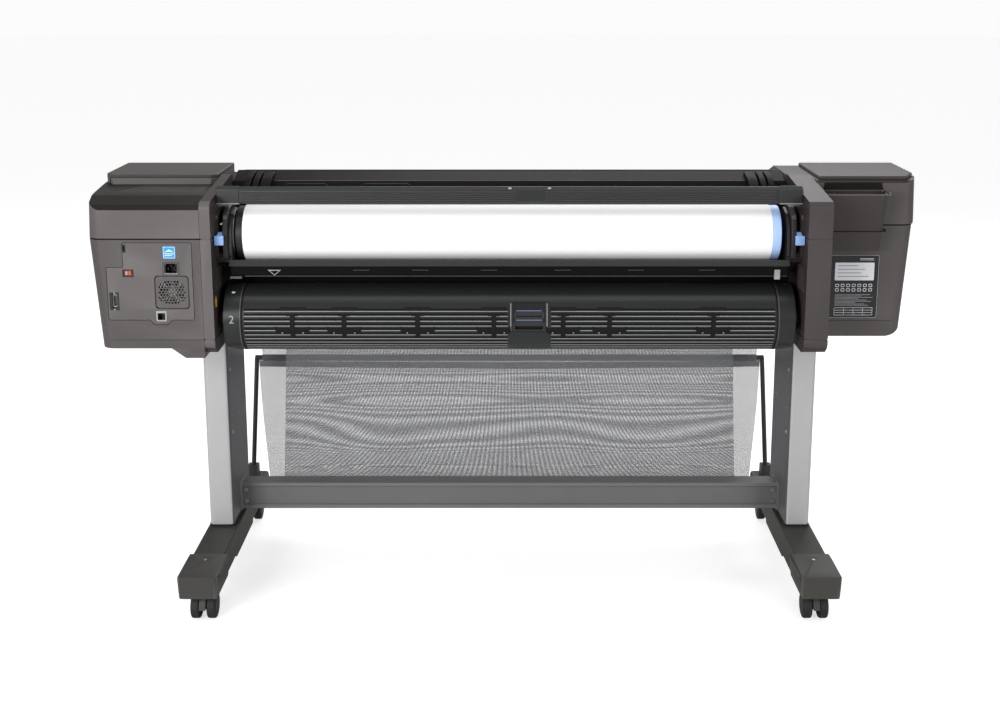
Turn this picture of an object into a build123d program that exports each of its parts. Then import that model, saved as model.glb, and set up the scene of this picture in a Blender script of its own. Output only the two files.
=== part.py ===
"""Large format plotter on a wheeled stand: dual-roll, 44 inch media, collecting basket.

Frame: millimetres. Origin on the floor under the middle of the bounding box. +X runs along the
rolls, +Y from the roll-loading side to the output side, +Z up. One STEP file for each sub-part.
"""

import math
import os

from build123d import *

# ---- driving dimensions ---------------------------------------------------------------------
OVERALL_X = 1800.0  # across the end covers
OVERALL_Y = 690.0  # rear plane of the roll arms to the front toes of the feet
OVERALL_Z = 998.0
HALF_X, HALF_Y = OVERALL_X / 2, OVERALL_Y / 2
REAR = -HALF_Y  # rear plane of arms and left module
FRONT = 225.0  # front plane of the printer's covers
WALL = 3.0  # covers' moulded wall
SEAM_Z = 892.0  # between upper and lower covers
GAP = 0.6  # seam between neighbouring covers
SEAM = 1.4  # half of the shadow gap between upper and lower covers
LOW_SEAM_Z = 677.0  # groove round the bottom of the covers
BAY_X = 618.0  # inner face of each roll arm, from the middle
ARM_L, ARM_R = 640.0, 668.0  # outer faces of the arms
UNDER_Z = 641.0  # underside of the printer, top of the legs

MEDIA_X = 1118.0  # 44 inch media
ROLL1_Y, ROLL1_Z, ROLL1_R = -235.0, 885.0, 60.0
ROLL2_Y, ROLL2_Z, ROLL2_R = -253.0, 705.0, 50.0
DRUM_R, DRUM_X = 72.0, 604.0  # roll 2 cover
CORE_R = 25.4  # 2 inch core
SPINDLE_R = 10.0
FIT = 0.05  # radial running clearance

LEG_IN, LEG_OUT, LEG_Y0, LEG_Y1 = 669.0, 727.0, -12.0, 192.0
FOOT_X0, FOOT_X1, FOOT_Z0, FOOT_Z1 = 660.0, 732.0, 64.0, 114.0  # top face
FOOT_SPLAY = 9.0  # the flanks splay out to the underside
FOOT_Y0, FOOT_Y1 = -292.0, 342.0
COVER_X0, COVER_X1 = 646.5, 741.0  # moulded end covers
BEAM_Y0, BEAM_Y1, BEAM_Z0, BEAM_Z1 = 83.0, 129.0, 120.0, 187.0

CASTER_X, CASTER_TRAIL, WHEEL_R, WHEEL_W = 689.0, 16.0, 30.0, 19.0
CASTER_Y = {"rear": -235.0, "front": 284.0}

FEED_Y, FEED_Z, FEED_R, PINCH_R = -60.0, 812.0, 15.0, 7.5


# ---- helpers --------------------------------------------------------------------------------
def outline(points):
    """Closed wire through (u, v) or (u, v, corner radius) points."""
    pts = [(p[0], p[1], p[2] if len(p) > 2 else 0.0) for p in points]
    n, ends = len(pts), []
    for i, (u, v, r) in enumerate(pts):
        a, b = pts[i - 1], pts[(i + 1) % n]
        da, db = (a[0] - u, a[1] - v), (b[0] - u, b[1] - v)
        la, lb = math.hypot(*da), math.hypot(*db)
        ua, ub = (da[0] / la, da[1] / la), (db[0] / lb, db[1] / lb)
        if r <= 0:
            ends.append(((u, v), None, (u, v)))
            continue
        cos = max(-1.0, min(1.0, ua[0] * ub[0] + ua[1] * ub[1]))
        half = math.acos(cos) / 2
        t = r / math.tan(half)
        mid = (ua[0] + ub[0], ua[1] + ub[1])
        lm = math.hypot(*mid)
        d = r / math.sin(half) - r
        ends.append(
            (
                (u + ua[0] * t, v + ua[1] * t),
                (u + mid[0] / lm * d, v + mid[1] / lm * d),
                (u + ub[0] * t, v + ub[1] * t),
            )
        )
    with BuildLine() as line:
        for i, (start, mid, end) in enumerate(ends):
            if mid:
                ThreePointArc(start, mid, end)
            nxt = ends[(i + 1) % n][0]
            if math.dist(end, nxt) > 1e-6:
                Line(end, nxt)
    return line.line


def prism(plane, points, length):
    with BuildPart() as p:
        with BuildSketch(plane):
            with BuildLine():
                add(outline(points))
            make_face()
        extrude(amount=length)
    return p.part


def prism_x(points, x0, x1):
    """Outline in (y, z), from x0 to x1."""
    return prism(Plane((x0, 0, 0), x_dir=(0, 1, 0), z_dir=(1, 0, 0)), points, x1 - x0)


def prism_y(points, y0, y1):
    """Outline in (x, z), from y0 to y1."""
    return prism(Plane((0, y1, 0), x_dir=(1, 0, 0), z_dir=(0, -1, 0)), points, y1 - y0)


def prism_z(points, z0, z1):
    """Outline in (x, y), from z0 to z1."""
    return prism(Plane((0, 0, z0), x_dir=(1, 0, 0), z_dir=(0, 0, 1)), points, z1 - z0)


def block(x0, x1, y0, y1, z0, z1):
    with BuildPart() as p:
        with Locations(((x0 + x1) / 2, (y0 + y1) / 2, (z0 + z1) / 2)):
            Box(abs(x1 - x0), y1 - y0, z1 - z0)
    return p.part


def rod_x(y, z, r, x0, x1):
    with BuildPart() as p:
        with Locations(Plane(((x0 + x1) / 2, y, z), z_dir=(1, 0, 0))):
            Cylinder(r, abs(x1 - x0))
    return p.part


def rod_y(x, z, r, y0, y1):
    with BuildPart() as p:
        with Locations(Plane((x, (y0 + y1) / 2, z), z_dir=(0, 1, 0))):
            Cylinder(r, y1 - y0)
    return p.part


def rod_z(x, y, r, z0, z1):
    with BuildPart() as p:
        with Locations(((x, y, (z0 + z1) / 2))):
            Cylinder(r, z1 - z0)
    return p.part


def rod_between(a, b, r):
    with BuildPart() as p:
        axis = Vector(*b) - Vector(*a)
        with BuildSketch(Plane(a, z_dir=axis)):
            Circle(r)
        extrude(amount=axis.length)
    return p.part


def drafted(low, high, z0, z1):
    """Solid between two outlines in (x, y) with the same corners, at z0 and z1."""
    with BuildPart() as p:
        for points, z in ((low, z0), (high, z1)):
            with BuildSketch(Plane((0, 0, z), x_dir=(1, 0, 0), z_dir=(0, 0, 1))):
                with BuildLine():
                    add(outline(points))
                make_face()
        loft(ruled=True)
    return p.part


def inset(points, d):
    """Outline moved inwards by d, mitred; radii shrink with it."""
    pts = [(p[0], p[1], p[2] if len(p) > 2 else 0.0) for p in points]
    area = sum(a[0] * b[1] - b[0] * a[1] for a, b in zip(pts, pts[1:] + pts[:1]))
    s = 1 if area > 0 else -1
    out = []
    for i, (u, v, r) in enumerate(pts):
        a, b = pts[i - 1], pts[(i + 1) % len(pts)]
        e1, e2 = (u - a[0], v - a[1]), (b[0] - u, b[1] - v)
        l1, l2 = math.hypot(*e1), math.hypot(*e2)
        n1, n2 = (-e1[1] / l1 * s, e1[0] / l1 * s), (-e2[1] / l2 * s, e2[0] / l2 * s)
        k = d / (1 + n1[0] * n2[0] + n1[1] * n2[1])
        out.append((u + (n1[0] + n2[0]) * k, v + (n1[1] + n2[1]) * k, max(r - d, 0.0)))
    return out


def mirrored(shape):
    with BuildPart() as p:
        add(shape)
        mirror(about=Plane.YZ, mode=Mode.REPLACE)
    return p.part


NODES = {}


def node(name, *shapes, cut=(), keep=()):
    """Collects shapes in one sub-part: adds, then cuts, then keeps what lies in the last ones."""
    with BuildPart() as p:
        for s in shapes:
            add(s)
        for s in cut:
            add(s, mode=Mode.SUBTRACT)
        for s in keep:
            add(s, mode=Mode.INTERSECT)
    p.part.label = name
    NODES[name] = p.part
    return p.part


# ---- stand: feet, legs, beam ----------------------------------------------------------------
def foot(side):
    x0, x1 = (FOOT_X0, FOOT_X1) if side > 0 else (-FOOT_X1, -FOOT_X0)
    section = [(x0 - FOOT_SPLAY, FOOT_Z0), (x1 + FOOT_SPLAY, FOOT_Z0), (x1, FOOT_Z1, 5), (x0, FOOT_Z1, 5)]
    profile = [
        (FOOT_Y0, FOOT_Z0 + 6, 4), (-80, FOOT_Z0 + 6), (-74, FOOT_Z0), (124, FOOT_Z0),
        (130, FOOT_Z0 + 6), (FOOT_Y1, FOOT_Z0 + 6, 4), (FOOT_Y1, FOOT_Z1, 8), (FOOT_Y0, FOOT_Z1, 8),
    ]
    with BuildPart() as p:
        add(prism_y(section, FOOT_Y0, FOOT_Y1))
        add(prism_x(profile, x0 - 30, x1 + 30), mode=Mode.INTERSECT)
        for y0, y1 in ((-400, -174), (224, 400)):  # straight flanks inside the end covers
            add(block(x0 - 30, x0 - 3, y0, y1, 0, 200), mode=Mode.SUBTRACT)
            add(block(x1 + 3, x1 + 30, y0, y1, 0, 200), mode=Mode.SUBTRACT)
        for y in CASTER_Y.values():
            add(rod_z(side * CASTER_X, y, 5 + FIT, FOOT_Z0 - 1, FOOT_Z0 + 30), mode=Mode.SUBTRACT)
    return p.part


node("feet", foot(-1), foot(1))


def foot_cover(side, y0, y1, end):
    """Moulded cap over the top, flanks and toe of a foot, open below and towards the leg."""
    x0, x1 = sorted((side * COVER_X0, side * COVER_X1))
    toe, heel = 14, 5
    r0, r1 = (toe, heel) if end < 0 else (heel, toe)
    plan = [(x0, y0, r0), (x1, y0, r0), (x1, y1, r1), (x0, y1, r1)]
    flanks = [(x0 + 5, FOOT_Z0 + 0.5), (x1 - 5, FOOT_Z0 + 0.5), (x1, FOOT_Z1 - 3), (x1 - 4, FOOT_Z1 + 2.5),
              (x0 + 4, FOOT_Z1 + 2.5), (x0, FOOT_Z1 - 3)]
    hollow_x = sorted((side * (COVER_X0 + 10), side * (COVER_X1 - 5.5)))
    open_y = (y0 + 3, y1 + 5) if end < 0 else (y0 - 5, y1 - 3)
    with BuildPart() as p:
        add(prism_z(plan, FOOT_Z0 + 0.5, FOOT_Z1 + 2.5))
        add(prism_y(flanks, y0 - 5, y1 + 5), mode=Mode.INTERSECT)
        add(block(*hollow_x, *open_y, 50, FOOT_Z1), mode=Mode.SUBTRACT)
        # Countersunk screw recess.
        add(rod_z(side * 696, (y1 - 28) if end < 0 else (y0 + 28), 5.5, FOOT_Z1 + 1, FOOT_Z1 + 4), mode=Mode.SUBTRACT)
    return p.part


node(
    "foot_covers",
    *[foot_cover(s, REAR + 50, -174, -1) for s in (-1, 1)],
    *[foot_cover(s, 224, HALF_Y, 1) for s in (-1, 1)],
)


def leg(side):
    x0, x1 = (LEG_IN, LEG_OUT) if side > 0 else (-LEG_OUT, -LEG_IN)
    plan = [(x0, LEG_Y0, 9), (x1, LEG_Y0, 9), (x1, LEG_Y1, 9), (x0, LEG_Y1, 9)]
    inner = side * LEG_IN
    with BuildPart() as p:
        add(prism_z(plan, FOOT_Z1, UNDER_Z))
        add(prism_z(inset(plan, WALL), FOOT_Z1 + 6, UNDER_Z - 6), mode=Mode.SUBTRACT)
        # Accessory bolt holes in the inner face: a 2 x 2 pattern near the top.
        for y in (30.0, 150.0):
            for z in (400.0, 520.0):
                add(rod_x(y, z, 3.0, inner - 5, inner + 5), mode=Mode.SUBTRACT)
    return p.part


node("legs", leg(-1), leg(1))

beam_profile = [
    (BEAM_Y0, BEAM_Z0), (BEAM_Y1, BEAM_Z0), (BEAM_Y1, BEAM_Z1), (BEAM_Y0, BEAM_Z1),
    (BEAM_Y0, BEAM_Z1 - 9), (BEAM_Y0 + 4, BEAM_Z1 - 12), (BEAM_Y0 + 4, BEAM_Z0 + 12),
    (BEAM_Y0, BEAM_Z0 + 9),
]
beam_core = [(BEAM_Y0 + 8, BEAM_Z0 + 4), (BEAM_Y1 - 4, BEAM_Z0 + 4), (BEAM_Y1 - 4, BEAM_Z1 - 4),
             (BEAM_Y0 + 8, BEAM_Z1 - 4)]
node(
    "cross_beam",
    prism_x(beam_profile, -666, 666),
    cut=[prism_x(beam_core, -670, 670)]
    + [rod_y(s * 657, z, 3, BEAM_Y0, BEAM_Y0 + 9) for s in (-1, 1) for z in (138.0, 168.0)],
)


def beam_bracket(side):
    """End plate, tongue inside the beam and two screw heads."""
    with BuildPart() as p:
        x0, x1 = sorted((side * 666.0, side * 669.0))
        add(block(x0, x1, BEAM_Y0 - 6, BEAM_Y1 + 6, BEAM_Z0 - 3, BEAM_Z1 + 3))
        t0, t1 = sorted((side * 620.0, side * 666.0))
        add(block(t0, t1, BEAM_Y0 + 9, BEAM_Y0 + 12, BEAM_Z0 + 8, BEAM_Z1 - 8))
    return p.part


BEAM_SCREWS = [(s * 657, z) for s in (-1, 1) for z in (138.0, 168.0)]
node(
    "beam_brackets",
    beam_bracket(-1),
    beam_bracket(1),
    *[rod_y(x, z, 2.5, BEAM_Y0 + 2, BEAM_Y0 + 10) for x, z in BEAM_SCREWS],
    *[rod_y(x, z, 5, BEAM_Y0 + 0.5, BEAM_Y0 + 4) for x, z in BEAM_SCREWS],
)

# ---- casters --------------------------------------------------------------------------------
for side, sx in (("left", -1), ("right", 1)):
    for end, y in CASTER_Y.items():
        toward = -1 if end == "rear" else 1
        ax, ay = sx * CASTER_X, y + toward * CASTER_TRAIL
        with BuildPart() as swivel:
            add(rod_z(ax, y, 5, 50, FOOT_Z0 + 28))
            add(rod_z(ax, y, 7.5, 50, FOOT_Z0 - 0.6))
            add(block(ax - 6.5, ax + 6.5, min(ay, y) - 9, max(ay, y) + 9, 22, 56))
            add(rod_x(ay, WHEEL_R, 4.0, ax - 28.5, ax + 28.5))
        node(f"caster_swivel_{end}_{side}", swivel.part)
        with BuildPart() as wheels:
            for k in (-1, 1):
                x0, x1 = sorted((ax + k * 8.5, ax + k * (8.5 + WHEEL_W)))
                with BuildPart(mode=Mode.PRIVATE) as one:
                    add(rod_x(ay, WHEEL_R, WHEEL_R, x0, x1))
                    fillet(one.edges().filter_by(GeomType.CIRCLE), 4)
                add(one.part)
            add(rod_x(ay, WHEEL_R, 4.0 + FIT, ax - 40, ax + 40), mode=Mode.SUBTRACT)
        node(f"caster_wheels_{end}_{side}", wheels.part)

# ---- basket ---------------------------------------------------------------------------------
BASKET_TOP = (667.0, 336.0, 436.0)  # front tube's end
BASKET_FOOT = (681.0, 300.0, 122.0)
BASKET_REAR_Y, BASKET_REAR_Z = 160.0, 617.0


def basket_clip(side):
    x0, x1 = sorted((side * 668.0, side * 694.0))
    foot_pt = (side * BASKET_FOOT[0], BASKET_FOOT[1], BASKET_FOOT[2])
    top = (side * BASKET_TOP[0], BASKET_TOP[1], BASKET_TOP[2])
    with BuildPart() as p:
        add(prism_x([(283, FOOT_Z1 + 2.5), (322, FOOT_Z1 + 2.5), (319, 152, 5), (290, 152, 5)], x0, x1))
        add(rod_between(foot_pt, top, 6.0 + FIT), mode=Mode.SUBTRACT)
    return p.part


node("basket_clips", basket_clip(-1), basket_clip(1))
with BuildPart() as tubes:
    for s in (-1, 1):
        add(rod_between((s * BASKET_FOOT[0], *BASKET_FOOT[1:]), (s * BASKET_TOP[0], *BASKET_TOP[1:]), 6))
    add(rod_x(BASKET_TOP[1], BASKET_TOP[2], 7, -BASKET_TOP[0] - 4, BASKET_TOP[0] + 4))
    add(rod_x(BASKET_REAR_Y, BASKET_REAR_Z, 7, -LEG_IN, LEG_IN))
node("basket_tubes", tubes.part)

# Fabric: half-width, y, z down the near panel, across the bottom and up the far panel.
FABRIC = [
    (553, 150, 617), (563, 156, 420), (577, 163, 200), (586, 178, 130), (606, 212, 98),
    (626, 252, 98), (638, 284, 122), (645, 302, 180), (655, 317, 310), (660, 326.5, 436),
]
FABRIC_T = 1.2
with BuildPart() as fabric:
    for i, (w, y, z) in enumerate(FABRIC):
        a, b = FABRIC[max(i - 1, 0)], FABRIC[min(i + 1, len(FABRIC) - 1)]
        ty, tz = b[1] - a[1], b[2] - a[2]
        with BuildSketch(Plane((0, y, z), x_dir=(1, 0, 0), z_dir=(0, ty, tz))):
            with Locations((0, FABRIC_T / 2)):
                Rectangle(2 * w, FABRIC_T)
    loft(ruled=True)
node("basket_fabric", fabric.part)

LOW_CORNER_R = 58.0  # rounding of the boxes' lower outer corners, seen from the roll side


def lower_corner(side, x_low, x_high, inward=0.0):
    """Everything inside a box's outer wall line with its lower outer corner rounded."""
    outline = [(600, UNDER_Z - 10), (600, SEAM_Z + 5), (x_high - inward, SEAM_Z + 5),
               (x_low - inward, UNDER_Z + inward, LOW_CORNER_R - inward), (790, UNDER_Z + inward - 0.4)]
    return prism_y([(side * c[0], *c[1:]) for c in outline], -400, 400)


# ---- left module ----------------------------------------------------------------------------
def left_plan(out):
    """Plan of the left module. out moves its outer side in."""
    return [
        (-ARM_L - GAP, REAR), (-872 + out, REAR, 30), (-900 + out, -120, 60), (-900 + out, 200, 25),
        (-BAY_X - GAP, FRONT), (-BAY_X - GAP, -99), (-ARM_L - GAP, -99),
    ]


IO_PANEL = [  # rear view outline
    (-803, 885, 3), (-658, 885, 3), (-658, 719, 3), (-705, 719), (-714, 709, 3), (-743, 709, 3),
    (-752, 719), (-838, 719, 6), (-838, 833, 3), (-803, 833),
]
with BuildPart() as left_lower:
    add(drafted(left_plan(18), left_plan(0), UNDER_Z, SEAM_Z - SEAM))
    side = [(REAR - 5, SEAM_Z + 5), (REAR - 5, 658), (-200, 658, 20), (-180, UNDER_Z, 10),
            (215, UNDER_Z, 14), (FRONT + 5, 652), (FRONT + 5, SEAM_Z + 5)]
    add(prism_x(side, -910, -600), mode=Mode.INTERSECT)
    # Rounded lower outer corner.
    add(lower_corner(-1, 882.5, 901), mode=Mode.INTERSECT)
    add(drafted(inset(left_plan(18), WALL), inset(left_plan(0), WALL), UNDER_Z - 1, SEAM_Z + 1)
        & prism_x([(REAR - 5, SEAM_Z + 5), (REAR - 5, 661), (-198, 661, 20), (-178, UNDER_Z + 3, 10),
                   (214, UNDER_Z + 3, 12), (FRONT + 5, 655), (FRONT + 5, SEAM_Z + 5)], -910, -600)
        & lower_corner(-1, 882.5, 901, WALL), mode=Mode.SUBTRACT)
    add(prism_y(IO_PANEL, REAR - 1, REAR + 10), mode=Mode.SUBTRACT)
    # Shadow groove round the bottom.
    add(drafted(left_plan(18), left_plan(0), UNDER_Z, SEAM_Z) & block(-910, -600, -400, 400, LOW_SEAM_Z - 1.2, LOW_SEAM_Z + 1.2)
        - drafted(inset(left_plan(18), 1.6), inset(left_plan(0), 1.6), UNDER_Z - 1, SEAM_Z + 1), mode=Mode.SUBTRACT)
    # Lug under the module's inner corner.
    add(prism_y([(-712, 659), (-681, 636.5, 6), (-641, 636.5), (-641, 659)], REAR + 2, REAR + 92))
node("cover_left_lower", left_lower.part)

with BuildPart() as left_upper:
    add(drafted(left_plan(0), left_plan(4), SEAM_Z + SEAM, 990))
    profile = [(REAR - 1, SEAM_Z - 1), (REAR - 1, 952), (REAR + 10, 962, 12), (-290, 975, 40),
               (-262, 976), (-150, 976), (40, 976), (FRONT + 1, 934), (FRONT + 1, SEAM_Z - 1)]
    add(prism_x(profile, -910, -600), mode=Mode.INTERSECT)
    inner = [(REAR - 1, SEAM_Z - 3), (REAR - 1, 947), (REAR + 10, 957, 12), (-290, 971, 40),
             (-262, 973), (-150, 973), (39, 973), (FRONT + 1, 930), (FRONT + 1, SEAM_Z - 3)]
    add(drafted(inset(left_plan(0), WALL), inset(left_plan(4), WALL), SEAM_Z - 1, 990)
        & prism_x(inner, -910, -600), mode=Mode.SUBTRACT)
    # Raised rim round the ink bay, carrying the lid; its rear corners are cut off.
    LID_PLAN = [(-893, -119, 4), (-873, -149, 4), (-656, -149, 4), (-644, -137, 4), (-644, 46, 4), (-893, 46, 4)]
    add(prism_z(LID_PLAN, 975.9, 990))
    add(block(-883, -656, -139, 41, 972, 991), mode=Mode.SUBTRACT)
    add(block(-883, -656, -139, -63, 973, 976))
    add(block(-862, -700, -60, 34, 960, 995), mode=Mode.SUBTRACT)
node("cover_left_upper", left_upper.part)

with BuildPart() as lid:
    add(prism_z(LID_PLAN, 990.6, OVERALL_Z - 1))
    fillet(lid.edges().group_by(Axis.Z)[-1], 3)
node("ink_lid_left", lid.part)

# ---- right box ------------------------------------------------------------------------------
RIGHT_REAR = -187.0


def right_plan(out):
    return [
        (ARM_R + GAP, RIGHT_REAR), (ARM_R + GAP, -99), (BAY_X + GAP, -99), (BAY_X + GAP, FRONT),
        (900 - out, 200, 25), (900 - out, -125, 30), (880 - out, RIGHT_REAR, 26),
    ]


with BuildPart() as right_lower:
    add(drafted(right_plan(20), right_plan(3), UNDER_Z, SEAM_Z - SEAM))
    add(drafted(inset(right_plan(20), WALL), inset(right_plan(3), WALL), UNDER_Z - 1, SEAM_Z + 1)
        & block(600, 910, -400, 400, UNDER_Z + 3, SEAM_Z + 5) & lower_corner(1, 880.5, 898.5, WALL), mode=Mode.SUBTRACT)
    # Rounded lower outer corner.
    add(lower_corner(1, 880.5, 898.5), mode=Mode.INTERSECT)
    add(drafted(right_plan(20), right_plan(3), UNDER_Z, SEAM_Z) & block(600, 910, -400, 400, LOW_SEAM_Z - 1.2, LOW_SEAM_Z + 1.2)
        - drafted(inset(right_plan(20), 1.6), inset(right_plan(3), 1.6), UNDER_Z - 1, SEAM_Z + 1), mode=Mode.SUBTRACT)
node("cover_right_lower", right_lower.part)
with BuildPart() as right_upper:
    add(drafted(right_plan(0), right_plan(3), SEAM_Z + SEAM, 992))
    profile = [(RIGHT_REAR - 1, SEAM_Z - 1), (RIGHT_REAR - 1, 984, 6), (-181, 990, 4), (44, 990),
               (FRONT + 1, 934), (FRONT + 1, SEAM_Z - 1)]
    add(prism_x(profile, 600, 910), mode=Mode.INTERSECT)
    add(drafted(inset(right_plan(0), WALL), inset(right_plan(3), WALL), SEAM_Z - 1, 992)
        & prism_x([(RIGHT_REAR - 1, SEAM_Z - 3), (RIGHT_REAR - 1, 981), (-181, 986), (43, 986),
                   (FRONT + 1, 930), (FRONT + 1, SEAM_Z - 3)], 600, 910), mode=Mode.SUBTRACT)
    add(block(700, 862, -60, 34, 960, 995), mode=Mode.SUBTRACT)
    # Seat of the control panel in the front face.
    add(block(716, 868, FRONT - 12, FRONT + 5, 896, 930), mode=Mode.SUBTRACT)
node("cover_right_upper", right_upper.part)
with BuildPart() as lid:
    plan = [(675, -174, 4), (866, -174, 4), (893, -120, 4), (893, 40, 4), (675, 40, 4)]
    add(prism_z(plan, 990.6, OVERALL_Z))
    fillet(lid.edges().group_by(Axis.Z)[-1], 3)
node("ink_lid_right", lid.part)

# Document pocket: a bin open at the top, hung on the right box's rear face.
with BuildPart() as pocket:
    plan = [(ARM_R + 4, RIGHT_REAR - GAP), (ARM_R + 4, -247), (806, -247, 12), (817, RIGHT_REAR - GAP)]
    low = [(ARM_R + 4, RIGHT_REAR - GAP), (ARM_R + 4, -232), (798, -232, 12), (808, RIGHT_REAR - GAP)]
    add(drafted(low, plan, 844, 969))
    add(drafted(inset(low, WALL), inset(plan, WALL), 848, 971), mode=Mode.SUBTRACT)
node("document_pocket", pocket.part)

# ---- arms -----------------------------------------------------------------------------------
def arm(x0, x1):
    profile = [(REAR, 660, 14), (REAR + 22, 643, 14), (-186, 643, 10), (-186, UNDER_Z + 1), (-100, UNDER_Z + 1),
               (-100, 992, 6), (-118, 993, 6), (REAR, 968, 16)]
    lo, hi = min(x0, x1), max(x0, x1)
    with BuildPart() as p:
        add(prism_x(profile, lo, hi))
        add(prism_x(inset(profile, WALL), lo + WALL, hi - WALL), mode=Mode.SUBTRACT)
        # Open towards the printer, so the housing is a moulded shell and not a sealed box.
        add(block(lo + WALL, hi - WALL, -104, -99, 660, 975), mode=Mode.SUBTRACT)
        # Shadow grooves in line with the covers' seams.
        for z, h in ((SEAM_Z, SEAM), (LOW_SEAM_Z, 1.2)):
            add(block(lo - 1, hi + 1, REAR - 1, REAR + 1.6, z - h, z + h), mode=Mode.SUBTRACT)
            for x in (lo, hi):
                add(block(x - 1.6, x + 1.6, REAR - 1, -186, z - h, z + h), mode=Mode.SUBTRACT)
        # Seat of the drum cover's trunnion and of the spindle of roll 1.
        inner = lo if lo > 0 else hi
        s = 1 if lo > 0 else -1
        add(rod_x(ROLL2_Y, ROLL2_Z, 20, *sorted((inner - s * 12, inner + s * WALL))))
        add(rod_x(ROLL2_Y, ROLL2_Z, 12 + FIT, inner - 14, inner + 14), mode=Mode.SUBTRACT)
        add(rod_x(ROLL1_Y, ROLL1_Z, SPINDLE_R + 1, inner - 14, inner + 14), mode=Mode.SUBTRACT)
    return p.part


node("arm_left", arm(-ARM_L, -BAY_X))
node("arm_right", arm(BAY_X, ARM_R))


def lever_housing(side):
    """Rounded housing round the end of the upper spindle, with the lever's slot."""
    x0, x1 = sorted((side * 592.0, side * BAY_X))
    profile = [(-300, 838, 16), (-306, 880, 30), (-296, 930, 24), (-262, 947, 20), (-190, 947, 12),
               (-176, 900, 10), (-176, 850, 14), (-200, 830, 14), (-270, 830, 20)]
    with BuildPart() as p:
        add(prism_x(profile, x0, x1))
        fillet(p.faces().sort_by(Axis.X)[0 if side > 0 else -1].edges(), 4)
        add(rod_x(ROLL1_Y, ROLL1_Z, SPINDLE_R + FIT, x0 - 5, x1 + 5), mode=Mode.SUBTRACT)
        # Pocket in which the lever turns about the spindle's axis.
        a, b = sorted((side * 602.0, side * 612.0))
        sweep = [(ROLL1_Y, ROLL1_Z)] + [
            (ROLL1_Y + 120 * math.cos(math.radians(t)), ROLL1_Z + 120 * math.sin(math.radians(t)))
            for t in (112, 135, 160, 185, 208)
        ]
        add(prism_x(sweep, a, b), mode=Mode.SUBTRACT)
        add(rod_x(ROLL1_Y, ROLL1_Z, 23, a, b), mode=Mode.SUBTRACT)
        add(rod_x(ROLL1_Y, ROLL1_Z, 16, *sorted((side * 601.0, side * 613.0))))
        add(rod_x(ROLL1_Y, ROLL1_Z, SPINDLE_R + FIT, x0 - 5, x1 + 5), mode=Mode.SUBTRACT)
    return p.part


def lever(side):
    """Blue roll lock: a ring on the housing's hub with a thumb tab to the rear."""
    a, b = sorted((side * 602.5, side * 611.5))
    tab = [(-296, 872, 3), (-318, 876, 4), (-320, 893, 4), (-296, 899, 3)]
    with BuildPart() as p:
        add(rod_x(ROLL1_Y, ROLL1_Z, 22, a, b))
        add(prism_x([(-240, 876), (-300, 878), (-300, 894), (-240, 894)], a, b))
        add(prism_x(tab, a, b))
        add(rod_x(ROLL1_Y, ROLL1_Z, 16 + FIT, a - 5, b + 5), mode=Mode.SUBTRACT)
    return p.part


node("lever_housings", lever_housing(-1), lever_housing(1))
node("lever_left", lever(-1))
node("lever_right", lever(1))

# ---- roll 1 ---------------------------------------------------------------------------------
MEDIA_L, MEDIA_R = -563.0, 555.0
with BuildPart() as spindle:
    add(rod_x(ROLL1_Y, ROLL1_Z, SPINDLE_R, -616, 616))
    add(rod_x(ROLL1_Y, ROLL1_Z, CORE_R - 3, MEDIA_L - 6, MEDIA_R + 6))
    # Left stop flange.
    add(rod_x(ROLL1_Y, ROLL1_Z, 58, MEDIA_L - 14, MEDIA_L - 0.5))
    add(rod_x(ROLL1_Y, ROLL1_Z, 40, MEDIA_L - 24, MEDIA_L - 14))
node("roll1_spindle", spindle.part)
with BuildPart() as hub:
    add(rod_x(ROLL1_Y, ROLL1_Z, ROLL1_R - 0.8, MEDIA_R + 0.5, MEDIA_R + 19))
    fillet(hub.edges().filter_by(GeomType.CIRCLE).group_by(Axis.X)[-1], 3)
    add(rod_x(ROLL1_Y, ROLL1_Z, 50, MEDIA_R + 14, MEDIA_R + 30) - rod_x(ROLL1_Y, ROLL1_Z, 30, MEDIA_R + 10, MEDIA_R + 40),
        mode=Mode.SUBTRACT)
    add(rod_x(ROLL1_Y, ROLL1_Z, CORE_R - 3, 0, 700), mode=Mode.SUBTRACT)
    add(rod_x(ROLL1_Y, ROLL1_Z, SPINDLE_R, 0, 700), mode=Mode.SUBTRACT)
node("roll1_blue_hub", hub.part)
with BuildPart() as media:
    add(rod_x(ROLL1_Y, ROLL1_Z, ROLL1_R, MEDIA_L, MEDIA_R))
    add(rod_x(ROLL1_Y, ROLL1_Z, CORE_R - 3, -700, 700), mode=Mode.SUBTRACT)
node("roll1_media", media.part)

# ---- roll 2 and its drum cover --------------------------------------------------------------
with BuildPart() as spindle:
    add(rod_x(ROLL2_Y, ROLL2_Z, 8, -614, 614))
    add(rod_x(ROLL2_Y, ROLL2_Z, CORE_R - 3, -562, 562))
node("roll2_spindle", spindle.part)
with BuildPart() as media:
    add(rod_x(ROLL2_Y, ROLL2_Z, ROLL2_R, -MEDIA_X / 2, MEDIA_X / 2))
    add(rod_x(ROLL2_Y, ROLL2_Z, CORE_R - 3, -700, 700), mode=Mode.SUBTRACT)
node("roll2_media", media.part)

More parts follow.
